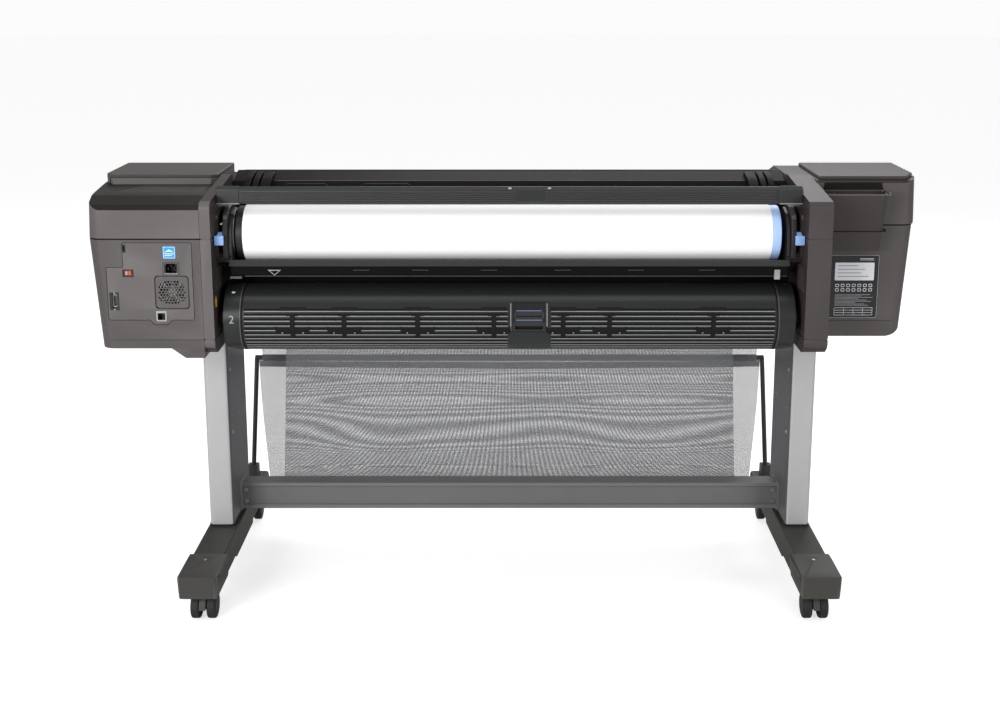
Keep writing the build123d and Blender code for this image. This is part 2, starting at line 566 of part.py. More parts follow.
DRUM_DISC_X = 567.0
HANDLE_X0, HANDLE_X1 = 6.0, 76.0
with BuildPart() as drum:
    add(rod_x(ROLL2_Y, ROLL2_Z, DRUM_R, -DRUM_DISC_X, DRUM_DISC_X))
    add(rod_x(ROLL2_Y, ROLL2_Z, DRUM_R - 5, -DRUM_DISC_X - 1, DRUM_DISC_X + 1), mode=Mode.SUBTRACT)
    # Mouth on the inner side, where the media leaves: the shell spans 250 degrees.
    mouth = [(ROLL2_Y, ROLL2_Z)] + [
        (ROLL2_Y + 120 * math.cos(math.radians(t)), ROLL2_Z + 120 * math.sin(math.radians(t)))
        for t in (-42, -14, 14, 42, 68)
    ]
    add(prism_x(mouth, -DRUM_DISC_X - 1, DRUM_DISC_X + 1), mode=Mode.SUBTRACT)
    # Long grooves on the outer side.
    for i in range(10):
        t = math.radians(155 + i * 8.3)
        y, z = ROLL2_Y + DRUM_R * math.cos(t), ROLL2_Z + DRUM_R * math.sin(t)
        for x0, x1 in ((-560, -4), (88, 560)):
            add(rod_x(y, z, 2.0, x0, x1), mode=Mode.SUBTRACT)
    # Seat of the handle.
    add(block(HANDLE_X0, HANDLE_X1, ROLL2_Y - 90, ROLL2_Y - 50, ROLL2_Z - 18, ROLL2_Z + 44), mode=Mode.SUBTRACT)
    for s in (-1, 1):
        a, b = sorted((s * DRUM_DISC_X, s * DRUM_X))
        add(rod_x(ROLL2_Y, ROLL2_Z, DRUM_R, a, b))
        add(rod_x(ROLL2_Y, ROLL2_Z, 12, *sorted((s * DRUM_DISC_X, s * (BAY_X - 1)))))
    add(rod_x(ROLL2_Y, ROLL2_Z, 8 + FIT, -700, 700), mode=Mode.SUBTRACT)
node("roll2_cover", drum.part)
with BuildPart() as handle:
    add(rod_x(ROLL2_Y, ROLL2_Z, DRUM_R - 1, HANDLE_X0 + 0.5, HANDLE_X1 - 0.5))
    add(block(0, 100, ROLL2_Y - 90, ROLL2_Y - 53, ROLL2_Z - 17.5, ROLL2_Z + 43.5), mode=Mode.INTERSECT)
    # Finger recess under a bar.
    add(block(HANDLE_X0 + 5, HANDLE_X1 - 5, ROLL2_Y - 90, ROLL2_Y - 56, ROLL2_Z - 12, ROLL2_Z + 26), mode=Mode.SUBTRACT)
node("roll2_handle", handle.part)

# ---- roll bay: bars, guides, deck -----------------------------------------------------------
with BuildPart() as guard:
    profile = [(-283, 955, 5), (-283, 985, 6), (-272, 991, 4), (-262, 988, 4), (-262, 962, 4), (-270, 955, 4)]
    add(prism_x(profile, -BAY_X + 1, BAY_X - 1))
    for i in range(5):
        z = 961 + i * 4.4
        for x0, x1 in ((-560, 14), (74, 560)):
            add(rod_x(-283.4, z, 1.3, x0, x1), mode=Mode.SUBTRACT)
node("guard_bar", guard.part)

with BuildPart() as deck:
    profile = [(-170, 960, 2), (-122, 960, 4), (-106, 977, 6), (-46, 993, 6), (-25, 990), (-25, 984),
               (-46, 986), (-100, 972), (-116, 954), (-170, 954)]
    add(prism_x(profile, -BAY_X + 1, BAY_X - 1))
    for x0, x1 in ((-510, -396), (-336, -212)):  # finger recesses
        add(block(x0, x1, -162, -128, 957, 962), mode=Mode.SUBTRACT)
node("top_deck", deck.part)

with BuildPart() as guide:
    profile = [(-306, 826), (-298, 838), (-286, 836), (-262, 818, 30), (-200, 808, 40), (-172, 828, 20), (-167, 860, 20),
               (-167, 953), (-163, 953), (-163, 858, 20), (-168, 824, 20), (-200, 803, 40), (-264, 813, 30), (-290, 826)]
    add(prism_x(profile, -591, 591))
node("bay_guide", guide.part)
with BuildPart() as lower_wall:
    profile = [(-170, 652), (-170, 778), (-136, 800), (-132, 800), (-132, 797), (-166, 776), (-166, 652)]
    add(prism_x(profile, -BAY_X + 1, BAY_X - 1))
    for x in (-500, -375, -210, -42, 120, 225, 465):  # media guide brackets behind the drum
        add(prism_y([(x - 14, 690), (x + 14, 690), (x + 14, 700), (x + 4, 700), (x + 4, 740), (x - 4, 740), (x - 4, 700), (x - 14, 700)],
                    -172, -169.9))
node("bay_rear_wall", lower_wall.part)

# ---- chassis and print engine ---------------------------------------------------------------
with BuildPart() as side_plates:
    for s in (-1, 1):
        x0, x1 = sorted((s * 611.0, s * 617.0))
        profile = [(-99, UNDER_Z + 14), (201, UNDER_Z + 14), (201, 796), (120, 900), (20, 940), (-60, 955), (-99, 940)]
        add(prism_x(profile, x0, x1))
    for y, z, r in ((FEED_Y, FEED_Z, 6 + FIT), (FEED_Y, FEED_Z + FEED_R + PINCH_R, 3 + FIT)):
        add(rod_x(y, z, r, -640, 640), mode=Mode.SUBTRACT)
node("side_plates", side_plates.part)
with BuildPart() as tray:
    profile = [(-128, UNDER_Z + 2), (212, UNDER_Z + 2), (212, UNDER_Z + 12), (206, UNDER_Z + 12),
               (206, UNDER_Z + 7), (-124, UNDER_Z + 7), (-124, 796), (-128, 796)]
    add(prism_x(profile, -610, 610))
node("chassis_tray", tray.part)
# Platen running on into the output guide.
node(
    "platen",
    prism_x([(-40, 824), (110, 824), (150, 812), (200, 803), (200, 799), (149, 806),
             (108, 818), (-40, 818)], -610, 610),
)
node(
    "carriage_rail",
    prism_x([(-30, 906), (-6, 906), (-6, 912), (-24, 912), (-24, 932), (-30, 932)], -610, 610),
    rod_x(4, 902, 8, -610, 610),
)
with BuildPart() as carriage:
    add(block(420, 550, -20, 84, 836, 898))
    fillet(carriage.edges().filter_by(Axis.Z), 6)
    add(block(440, 530, -14, 22, 890, 915))
    add(block(415, 560, -40, -5.5, 903, 935), mode=Mode.SUBTRACT)
    add(rod_x(4, 902, 8 + FIT, 300, 700), mode=Mode.SUBTRACT)
    # Print head slots, open to the front.
    for i in range(4):
        add(block(430 + i * 29, 452 + i * 29, 30, 78, 850, 899), mode=Mode.SUBTRACT)
node("carriage", carriage.part)
with BuildPart() as belt:
    add(block(-600, 600, -22.4, -21, 868, 878))
    add(block(-600, 600, -36, -34.6, 868, 878))
    for s in (-1, 1):
        add(rod_z(s * 600, -28.5, 7.5, 868, 878))
        add(rod_z(s * 600, -28.5, 6.0, 860, 900), mode=Mode.SUBTRACT)
        a, b = sorted((s * 600.0, s * 590.0))
        add(block(a, b, -34.5, -22.5, 860, 900), mode=Mode.SUBTRACT)
node("drive_belt", belt.part)
with BuildPart() as feed:
    add(rod_x(FEED_Y, FEED_Z, FEED_R - 0.05, -604, 604))
    add(rod_x(FEED_Y, FEED_Z, 6, -616, 616))
node("feed_roller", feed.part)
with BuildPart() as pinch:
    zp = FEED_Z + FEED_R + PINCH_R
    add(rod_x(FEED_Y, zp, 3, -616, 616))
    for i in range(9):
        x = -528 + i * 132
        add(rod_x(FEED_Y, zp, PINCH_R - 0.05, x - 30, x + 30))
node("pinch_rollers", pinch.part)

# ---- front: window, apron, output guide, control panel --------------------------------------
WINDOW_AXIS = (-18.0, 984.0)
with BuildPart() as window:
    profile = [(-20, 980), (-16, 989, 2), (30, 980), (168, 898), (200, 862), (196, 860), (165, 894), (28, 975), (-14, 981)]
    add(prism_x(profile, -BAY_X + 8, BAY_X - 8))
node("window_lid", window.part)
node(
    "front_apron",
    prism_x([(214, 658), (222, 654), (224, 658), (224, 784), (214, 800, 4), (203, 802), (203, 798),
             (212, 796), (219, 783), (219, 660)], -BAY_X + 2, BAY_X - 2),
)
PANEL_AXIS = (FRONT - 4, 900.0)
with BuildPart() as panel:
    add(block(718, 866, FRONT - 10, FRONT + 6, 897, 929))
    fillet(panel.edges().filter_by(Axis.Y), 4)
node("control_panel", panel.part)

# ---- rear panel fittings --------------------------------------------------------------------
FAN_X, FAN_Z, FAN_R = -703.0, 779.0, 30.0
with BuildPart() as io:
    add(prism_y(inset(IO_PANEL, 1.1), REAR + 0.3, REAR + 3))
    add(block(-720, -686, REAR - 1, REAR + 9, 817, 843), mode=Mode.SUBTRACT)
    add(block(-739, -716, REAR - 1, REAR + 9, 716, 740), mode=Mode.SUBTRACT)
    add(block(-804, -781, REAR - 1, REAR + 9, 812, 828), mode=Mode.SUBTRACT)
    add(block(-834, -814, REAR - 1, REAR + 9, 741, 779), mode=Mode.SUBTRACT)
    add(block(-803, -795, REAR - 1, REAR + 9, 864, 881), mode=Mode.SUBTRACT)
    add(block(FAN_X - 34, FAN_X + 34, REAR - 1, REAR + 9, FAN_Z - 34, FAN_Z + 34), mode=Mode.SUBTRACT)
node("io_panel", io.part)
with BuildPart() as grille:
    add(prism_y([(FAN_X - 33.5, FAN_Z - 33.5, 6), (FAN_X + 33.5, FAN_Z - 33.5, 6), (FAN_X + 33.5, FAN_Z + 33.5, 6),
                 (FAN_X - 33.5, FAN_Z + 33.5, 6)], REAR + 0.6, REAR + 2.6))
    with BuildPart(mode=Mode.PRIVATE) as holes:
        for row in range(-4, 5):
            for col in range(-4, 5):
                x = FAN_X + col * 6.4 + (3.2 if row % 2 else 0)
                z = FAN_Z + row * 5.6
                if math.hypot(x - FAN_X, z - FAN_Z) < 28.5:
                    add(prism_y([(x + 2.7 * math.cos(math.radians(30 + 60 * k)), z + 2.7 * math.sin(math.radians(30 + 60 * k)))
                                 for k in range(6)], REAR - 1, REAR + 5))
    add(holes.part, mode=Mode.SUBTRACT)
with BuildPart() as fan:
    add(rod_y(FAN_X, FAN_Z, 11, REAR + 8, REAR + 26))
    for k in range(7):
        with BuildPart(mode=Mode.PRIVATE) as blade:
            with Locations(Location((FAN_X, REAR + 17, FAN_Z), (0, k * 360 / 7, 0)) * Location((19, 0, 0), (32, 0, 0))):
                Box(20, 16, 1.8)
        add(blade.part)
    add(rod_y(FAN_X, FAN_Z, 3 + FIT, REAR, REAR + 40), mode=Mode.SUBTRACT)
node("fan_rotor", fan.part)
with BuildPart() as fan_body:
    add(prism_y([(FAN_X - 35, FAN_Z - 35, 4), (FAN_X + 35, FAN_Z - 35, 4), (FAN_X + 35, FAN_Z + 35, 4), (FAN_X - 35, FAN_Z + 35, 4)],
                REAR + 11, REAR + 32))
    add(rod_y(FAN_X, FAN_Z, 31.5, REAR, REAR + 29), mode=Mode.SUBTRACT)
    add(rod_y(FAN_X, FAN_Z, 3, REAR + 9, REAR + 31))
node("fan_housing", grille.part, fan_body.part)
with BuildPart() as inlet:
    add(block(-719.7, -686.3, REAR + 0.2, REAR + 26, 817.3, 842.7))
    add(prism_y([(-714, 821), (-692, 821), (-692, 836), (-696, 840), (-710, 840), (-714, 836)], REAR - 1, REAR + 20), mode=Mode.SUBTRACT)
    for dx, dz in ((0, 3.5), (-6.5, -1.5), (6.5, -1.5)):
        add(block(-703 + dx - 1, -703 + dx + 1, REAR + 5, REAR + 21, 830 + dz - 2.5, 830 + dz + 2.5))
node("power_inlet", inlet.part)
with BuildPart() as sockets:
    # Network socket, accessory connector and lock slot insert.
    add(block(-738.7, -716.3, REAR + 0.2, REAR + 22, 716.3, 739.7))
    add(block(-735, -720, REAR - 1, REAR + 17, 720, 734), mode=Mode.SUBTRACT)
    add(block(-833.7, -814.3, REAR + 1.0, REAR + 20, 741.3, 778.7))
    add(block(-829, -819, REAR - 1, REAR + 14, 745, 775), mode=Mode.SUBTRACT)
    add(block(-826, -822, REAR + 6.5, REAR + 15, 748, 772))
    add(block(-802.7, -795.3, REAR + 0.6, REAR + 8, 864.3, 880.7))
    add(block(-800.5, -797.5, REAR - 1, REAR + 6, 867, 878), mode=Mode.SUBTRACT)
    # Frame of the small switch.
    add(block(-803.7, -781.3, REAR + 0.2, REAR + 16, 812.3, 827.7))
    add(block(-800, -785, REAR - 1, REAR + 14, 815, 825), mode=Mode.SUBTRACT)
node("data_sockets", sockets.part)
with BuildPart() as rocker:
    rock = [(-799.2, REAR + 0.6), (-792.5, REAR + 2.4), (-785.8, REAR - 0.0), (-786.4, REAR + 7, 2), (-798.6, REAR + 7, 2)]
    add(prism_z(rock, 815.4, 824.6))
node("power_rocker", rocker.part)
node(
    "labels",
    block(-718, -692, REAR, REAR + 0.3, 851, 877),
    block(705, 813, RIGHT_REAR - 0.3, RIGHT_REAR, 682, 826),
)

# ---- inside the covers ----------------------------------------------------------------------
with BuildPart() as board:
    add(block(-840, -680, -270, -100, 664, 700))  # power supply
    add(block(-845, -660, -60, -58, 665, 860))
    for x0, z0, w, h in ((-830, 690, 40, 40), (-770, 780, 50, 30), (-720, 700, 30, 60)):
        add(block(x0, x0 + w, -66, -60, z0, z0 + h))
node("electronics", board.part)
cartridges = []
for s in (-1, 1):
    for i in range(3):
        x = s * (722 + i * 52)
        cartridges.append(block(x - 22, x + 22, -54, 28, 896, 978))
node("ink_cartridges", *cartridges)

os.makedirs("parts", exist_ok=True)
for name, part in NODES.items():
    export_step(part, f"parts/{name}.step")
    b = part.bounding_box()
    print(name, len(part.solids()), [round(v) for v in (*b.min, *b.max)])
print(len(NODES), "nodes")
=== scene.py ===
"""Looks of a floor-standing large format plotter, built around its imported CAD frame.

The object's frame: +X along the rolls, +Y from the roll-loading side to the output side, +Z up.
Sizes are millimetres, and MM turns them into metres. The studio at the end is in metres.
"""

import math

import bmesh
import bpy
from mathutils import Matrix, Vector


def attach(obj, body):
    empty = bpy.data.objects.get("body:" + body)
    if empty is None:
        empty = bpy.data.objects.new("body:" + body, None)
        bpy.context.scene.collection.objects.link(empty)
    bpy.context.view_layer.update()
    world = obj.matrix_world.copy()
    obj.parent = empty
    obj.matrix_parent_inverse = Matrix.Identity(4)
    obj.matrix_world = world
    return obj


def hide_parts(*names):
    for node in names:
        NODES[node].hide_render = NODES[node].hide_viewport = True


MM = 0.001
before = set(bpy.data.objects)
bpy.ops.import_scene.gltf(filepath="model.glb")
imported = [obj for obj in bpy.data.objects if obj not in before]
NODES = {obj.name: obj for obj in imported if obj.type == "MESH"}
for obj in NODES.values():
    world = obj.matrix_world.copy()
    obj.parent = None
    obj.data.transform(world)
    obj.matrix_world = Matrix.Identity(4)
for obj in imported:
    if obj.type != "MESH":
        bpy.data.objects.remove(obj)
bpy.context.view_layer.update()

# Places shared by several pieces, as the CAD frame has them.
REAR = -345.0  # rear plane of the roll arms and the left module
RIGHT_FACE = -187.3  # rear plane of the right box's label
BAY_X = 618  # inner face of each roll arm
ROLL1_Y, ROLL1_Z = -235, 885
DRUM_Y, DRUM_Z, DRUM_R = -253.0, 705.0, 72.0
FAN_X, FAN_Z = -703, 779


# ---- colours and materials ------------------------------------------------------------------
def srgb(r, g, b):
    """Linear colour of an 8-bit sRGB triple."""
    return tuple(((c / 255 + 0.055) / 1.055) ** 2.4 if c > 10 else c / 3294.6 for c in (r, g, b))


def scaled(rgb, k):
    return tuple(min(c * k, 1.0) for c in rgb) + (1.0,)


def new_material(name):
    m = bpy.data.materials.new(name)
    m.use_nodes = True
    t = m.node_tree
    return m, t, t.nodes["Principled BSDF"]


def texture_space(t, stretch=(1, 1, 1)):
    coord = t.nodes.new("ShaderNodeTexCoord")
    mapping = t.nodes.new("ShaderNodeMapping")
    mapping.inputs["Scale"].default_value = stretch
    t.links.new(coord.outputs["Object"], mapping.inputs["Vector"])
    return mapping.outputs["Vector"]


def noise(t, vector, scale, detail=2.0, rough=0.5):
    n = t.nodes.new("ShaderNodeTexNoise")
    n.inputs["Scale"].default_value = scale
    n.inputs["Detail"].default_value = detail
    n.inputs["Roughness"].default_value = rough
    t.links.new(vector, n.inputs["Vector"])
    return n.outputs["Fac"]


def remap(t, value, lo, hi, to_lo, to_hi):
    n = t.nodes.new("ShaderNodeMapRange")
    for key, v in (("From Min", lo), ("From Max", hi), ("To Min", to_lo), ("To Max", to_hi)):
        n.inputs[key].default_value = v
    t.links.new(value, n.inputs["Value"])
    return n.outputs["Result"]


def blend_colours(t, factor, a, b):
    n = t.nodes.new("ShaderNodeMix")
    n.data_type = "RGBA"
    for socket, v in (("A", a), ("B", b)):
        slot = next(s for s in n.inputs if s.name == socket and s.type == "RGBA")
        if isinstance(v, tuple):
            slot.default_value = v
        else:
            t.links.new(v, slot)
    t.links.new(factor, n.inputs["Factor"])
    return next(s for s in n.outputs if s.type == "RGBA")


def surface(name, rgb, rough, metal=0.0, grain=0.0, bump=0.0, depth=0.00025, mottle=0.07, spread=0.06,
            edge_lightening=0.0, stretch=(1, 1, 1), **sockets):
    """Moulded, painted or metal surface: broad tone variation, fine grain, convex edges made lighter."""
    m, t, b = new_material(name)
    space = texture_space(t, stretch)
    broad = noise(t, space, 9.0, 3.0)
    tone = blend_colours(t, remap(t, broad, 0.3, 0.7, 0, 1), scaled(rgb, 1 - mottle), scaled(rgb, 1 + mottle))
    # Convex edges, found by pointiness, are made lighter.
    if edge_lightening:
        geometry = t.nodes.new("ShaderNodeNewGeometry")
        edge = remap(t, geometry.outputs["Pointiness"], 0.53, 0.62, 0, edge_lightening)
        tone = blend_colours(t, edge, tone, scaled(tuple(c + 0.05 for c in rgb), 1.6))
    t.links.new(tone, b.inputs["Base Color"])
    fine = noise(t, space, grain or 260.0, 3.0, 0.6)
    t.links.new(remap(t, fine, 0.3, 0.7, max(rough - spread, 0.02), min(rough + spread, 1.0)), b.inputs["Roughness"])
    if bump:
        n = t.nodes.new("ShaderNodeBump")
        n.inputs["Strength"].default_value = bump
        n.inputs["Distance"].default_value = depth
        t.links.new(fine, n.inputs["Height"])
        t.links.new(n.outputs["Normal"], b.inputs["Normal"])
    b.inputs["Metallic"].default_value = metal
    for key, v in sockets.items():
        b.inputs[key.replace("_", " ")].default_value = v
    return m


SHELL = surface("shell_plastic", srgb(84, 79, 79), 0.46, grain=1500, bump=0.35, edge_lightening=0.25, Specular_IOR_Level=0.35)
# Painted shade: the shell plastic made darker for the right box.
SHELL_SHADED_RIGHT = surface("shell_plastic_painted_shade_right", srgb(76, 71, 71), 0.46, grain=1500, bump=0.35, edge_lightening=0.25,
                      Specular_IOR_Level=0.3)
# Darker plastic for several small parts, also used as painted shade on the arms' faces and the right upper cover's top.
SHELL_DARK_AND_SHADE = surface("shell_plastic_dark_and_painted_shade", srgb(48, 42, 41), 0.48, grain=1500, bump=0.35, edge_lightening=0.2,
                     Specular_IOR_Level=0.22)
DECK = surface("deck_plastic", srgb(21, 17, 16), 0.52, grain=1500, bump=0.3, edge_lightening=0.35, Specular_IOR_Level=0.04)
# Painted shade: the shell plastic made darker for the left lower cover.
SHELL_SHADED_LOWER = surface("shell_plastic_painted_shade_lower", srgb(75, 70, 70), 0.46, grain=1500, bump=0.35, edge_lightening=0.25,
                      Specular_IOR_Level=0.33)
# Painted shade: the shell plastic made darker still for the right arm.
ARM_SHADED_RIGHT = surface("shell_plastic_painted_shade_arm", srgb(62, 56, 56), 0.46, grain=1500, bump=0.35, edge_lightening=0.25,
                    Specular_IOR_Level=0.28)
# Painted shade: much darker plastic for the upward faces along the left upper cover's top.
SHADED_TOP_PLASTIC = surface("shell_top_painted_shade", srgb(32, 27, 26), 0.48, grain=1500, bump=0.35, edge_lightening=0.2,
               Specular_IOR_Level=0.14)
POCKET = surface("pocket_plastic", srgb(57, 51, 50), 0.48, grain=1500, bump=0.35, edge_lightening=0.2,
                 Specular_IOR_Level=0.24)
PANEL = surface("panel_plastic", srgb(84, 79, 79), 0.4, grain=1900, bump=0.2, edge_lightening=0.2, Specular_IOR_Level=0.4)
GLOSS_LID = surface("glossy_lid", srgb(66, 61, 60), 0.34, grain=900, bump=0.08, mottle=0.05, spread=0.04,
                    Specular_IOR_Level=0.12)
GLOSS_BLACK = surface("gloss_black", srgb(20, 20, 21), 0.13, grain=380, bump=0.03, spread=0.03, Coat_Weight=0.3)
BAR = surface("bar_satin", srgb(40, 42, 41), 0.36, grain=900, bump=0.12, stretch=(0.15, 1, 1), edge_lightening=0.35,
              Specular_IOR_Level=0.35)
# Pale grey for small pale parts and the guide's triangle mark, also painted as highlights on the drum's ribs and the
# handle's rims.
PALE_AND_HIGHLIGHT = surface("pale_satin_and_painted_highlight", srgb(150, 152, 152), 0.32, grain=900, bump=0.1, stretch=(0.15, 1, 1))
DRUM = surface("drum_satin", srgb(36, 37, 37), 0.29, grain=1500, bump=0.006, mottle=0.03, spread=0.008,
               edge_lightening=0.2, Specular_IOR_Level=0.3)
# Mid grey for small trims and vent dots, also painted as highlights on the deck's step edges, the guard bar's ribs and
# the drum's end rims.
TRIM_AND_HIGHLIGHT = surface("trim_and_painted_edge_highlight", srgb(74, 72, 71), 0.34, grain=900, bump=0.1)
GUIDE = surface("guide_metal", srgb(52, 53, 53), 0.36, metal=0.3, grain=520, bump=0.08, stretch=(0.06, 1, 1),
                Specular_IOR_Level=0.3)
LEG = surface("leg_powder_coat", srgb(177, 177, 177), 0.42, metal=0.2, grain=1300, bump=0.3, mottle=0.03, edge_lightening=0.15)
# Painted shade: the leg coat made darker for the legs' inner faces.
LEG_SHADED_SIDE = surface("leg_side_painted_shade", srgb(90, 89, 92), 0.45, grain=1300, bump=0.3, mottle=0.04, Specular_IOR_Level=0.3)
BEAM = surface("beam_powder_coat", srgb(107, 107, 107), 0.42, metal=0.2, grain=1300, bump=0.3, mottle=0.04, edge_lightening=0.4)
FOOT = surface("foot_powder_coat", srgb(58, 57, 54), 0.5, grain=1100, bump=0.45, edge_lightening=0.3, Specular_IOR_Level=0.25)
FOOT_PLASTIC = surface("foot_plastic", srgb(56, 55, 52), 0.5, grain=1300, bump=0.4, edge_lightening=0.35, Specular_IOR_Level=0.25)
BLACK = surface("black_plastic", srgb(26, 26, 27), 0.42, grain=1200, bump=0.25, edge_lightening=0.25, Specular_IOR_Level=0.3)
# Matte black for dark parts, also used as painted shade in the drum's grooves and gaps and in the cover seams.
BLACK_AND_SHADE = surface("black_matte_and_painted_shade", srgb(20, 20, 20), 0.7, grain=900, bump=0.3, Specular_IOR_Level=0.15)
TUBE = surface("tube_paint", srgb(34, 35, 36), 0.34, grain=900, bump=0.15, edge_lightening=0.2)
RUBBER = surface("rubber", srgb(20, 20, 20), 0.68, grain=700, bump=0.4, mottle=0.12, edge_lightening=0.4)
BLUE = surface("blue_plastic", srgb(140, 180, 234), 0.38, grain=1100, bump=0.15, mottle=0.05, edge_lightening=0.15)
HUB_BLUE = surface("hub_blue_plastic", srgb(170, 202, 246), 0.38, grain=1100, bump=0.15, mottle=0.05, edge_lightening=0.15)
# Painted shadow: near-black for the dark gap under the guide's lip.
GAP_SHADOW_BLACK = surface("guide_gap_painted_shadow", srgb(12, 12, 12), 0.6, grain=900, bump=0.3, Specular_IOR_Level=0.08)
STEEL = surface("brushed_steel", srgb(190, 191, 193), 0.3, metal=1.0, grain=420, bump=0.12, stretch=(0.05, 1, 1))
ZINC = surface("zinc_plate", srgb(176, 178, 180), 0.36, metal=0.9, grain=240, bump=0.1, mottle=0.1)
FAN_GREY = surface("fan_grey", srgb(176, 178, 180), 0.4, grain=500, bump=0.1, mottle=0.15)
ROLLER = surface("roller_rubber", srgb(60, 60, 61), 0.6, grain=800, bump=0.5, mottle=0.1)
BOARD = surface("circuit_board", srgb(24, 80, 48), 0.4, grain=320, bump=0.3, mottle=0.25)
INK = surface("ink_cartridge", srgb(40, 41, 44), 0.25, grain=800, bump=0.1)
LIGHT_INSERT = surface("light_insert", srgb(150, 152, 154), 0.45, grain=800, bump=0.2)
WHITE_PRINT = surface("white_print", srgb(220, 222, 226), 0.55, grain=600, bump=0.05, mottle=0.02)
GREY_PRINT = surface("grey_print", srgb(150, 152, 154), 0.55, grain=600, bump=0.05, mottle=0.03)
LABEL_FILM = surface("label_film", srgb(20, 20, 21), 0.3, grain=500, bump=0.05, mottle=0.05)
STICKER = surface("sticker_blue", srgb(0, 150, 214), 0.35, grain=500, bump=0.05, mottle=0.05)
ORANGE = surface("rocker_orange", srgb(196, 78, 38), 0.4, grain=700, bump=0.1)
YELLOW = surface("yellow_print", srgb(228, 176, 28), 0.45, grain=700, bump=0.05)
SCREEN = surface("screen_glass", srgb(18, 22, 28), 0.08, grain=300, bump=0.01, spread=0.02, Coat_Weight=1.0)
# Painted reflection on the glossy handle.
HANDLE_REFLECTION = surface("handle_painted_reflection", srgb(96, 118, 150), 0.25, grain=700, bump=0.05)


def paper_material():
    """White roll: soft sheen and the faint winding lines of the outer turns."""
    m, t, b = new_material("roll_paper")
    space = texture_space(t, (0.02, 1, 1))
    fibre = noise(t, texture_space(t), 1400.0, 3.0)
    t.links.new(blend_colours(t, noise(t, space, 30.0), scaled(srgb(244, 244, 244), 1), scaled(srgb(252, 252, 252), 1)),
                b.inputs["Base Color"])
    n = t.nodes.new("ShaderNodeBump")
    n.inputs["Strength"].default_value = 0.12
    n.inputs["Distance"].default_value = 0.0001
    t.links.new(fibre, n.inputs["Height"])
    t.links.new(n.outputs["Normal"], b.inputs["Normal"])
    t.links.new(remap(t, fibre, 0.3, 0.7, 0.5, 0.62), b.inputs["Roughness"])
    return m


def window_material():
    m, t, b = new_material("smoked_window")
    space = texture_space(t)
    t.links.new(blend_colours(t, noise(t, space, 6.0), scaled(srgb(96, 98, 102), 1), scaled(srgb(108, 110, 114), 1)),
                b.inputs["Base Color"])
    t.links.new(remap(t, noise(t, space, 300.0), 0.3, 0.7, 0.04, 0.09), b.inputs["Roughness"])
    b.inputs["Transmission Weight"].default_value = 0.85
    b.inputs["IOR"].default_value = 1.49
    return m


def mesh_material(name, rgb, pitch, thread):
    """Open mesh: threads every pitch millimetres both ways, with holes between them."""
    m, t, b = new_material(name)
    uv = t.nodes.new("ShaderNodeUVMap")
    uv.uv_map = "threads"
    split = t.nodes.new("ShaderNodeSeparateXYZ")
    t.links.new(uv.outputs["UV"], split.inputs["Vector"])

    def math_node(kind, a, b_value=None):
        n = t.nodes.new("ShaderNodeMath")
        n.operation = kind
        for i, v in enumerate((a, b_value)):
            if v is None:
                continue
            if isinstance(v, (int, float)):
                n.inputs[i].default_value = v
            else:
                t.links.new(v, n.inputs[i])
        return n.outputs["Value"]

    waves = []
    for axis in ("X", "Y"):
        cell = math_node("FRACT", math_node("DIVIDE", split.outputs[axis], pitch * MM))
        waves.append(math_node("ABSOLUTE", math_node("SUBTRACT", cell, 0.5)))
    reach = thread / pitch / 2
    on = [math_node("LESS_THAN", w, reach) for w in waves]
    solid = math_node("MAXIMUM", on[0], on[1])
    t.links.new(solid, b.inputs["Alpha"])
    space = texture_space(t)
    tone = blend_colours(t, noise(t, space, 14.0, 4.0), scaled(rgb, 0.9), scaled(rgb, 1.08))
    t.links.new(tone, b.inputs["Base Color"])
    height = math_node("MAXIMUM", math_node("SUBTRACT", reach, waves[0]), math_node("SUBTRACT", reach, waves[1]))
    n = t.nodes.new("ShaderNodeBump")
    n.inputs["Strength"].default_value = 0.15
    n.inputs["Distance"].default_value = 0.0002
    t.links.new(height, n.inputs["Height"])
    t.links.new(n.outputs["Normal"], b.inputs["Normal"])
    t.links.new(remap(t, noise(t, space, 900.0), 0.3, 0.7, 0.55, 0.75), b.inputs["Roughness"])
    b.inputs["Sheen Weight"].default_value = 0.2
    b.inputs["Specular IOR Level"].default_value = 0.2
    return m


PAPER = paper_material()
WINDOW = window_material()
MESH = mesh_material("basket_mesh", srgb(122, 123, 126), 0.9, 0.37)
HEM = mesh_material("basket_hem", srgb(112, 113, 116), 2.1, 1.5)
HEM_SOLID = surface("basket_sleeve", srgb(104, 105, 108), 0.75, grain=1100, bump=0.8, depth=0.0006, mottle=0.12)

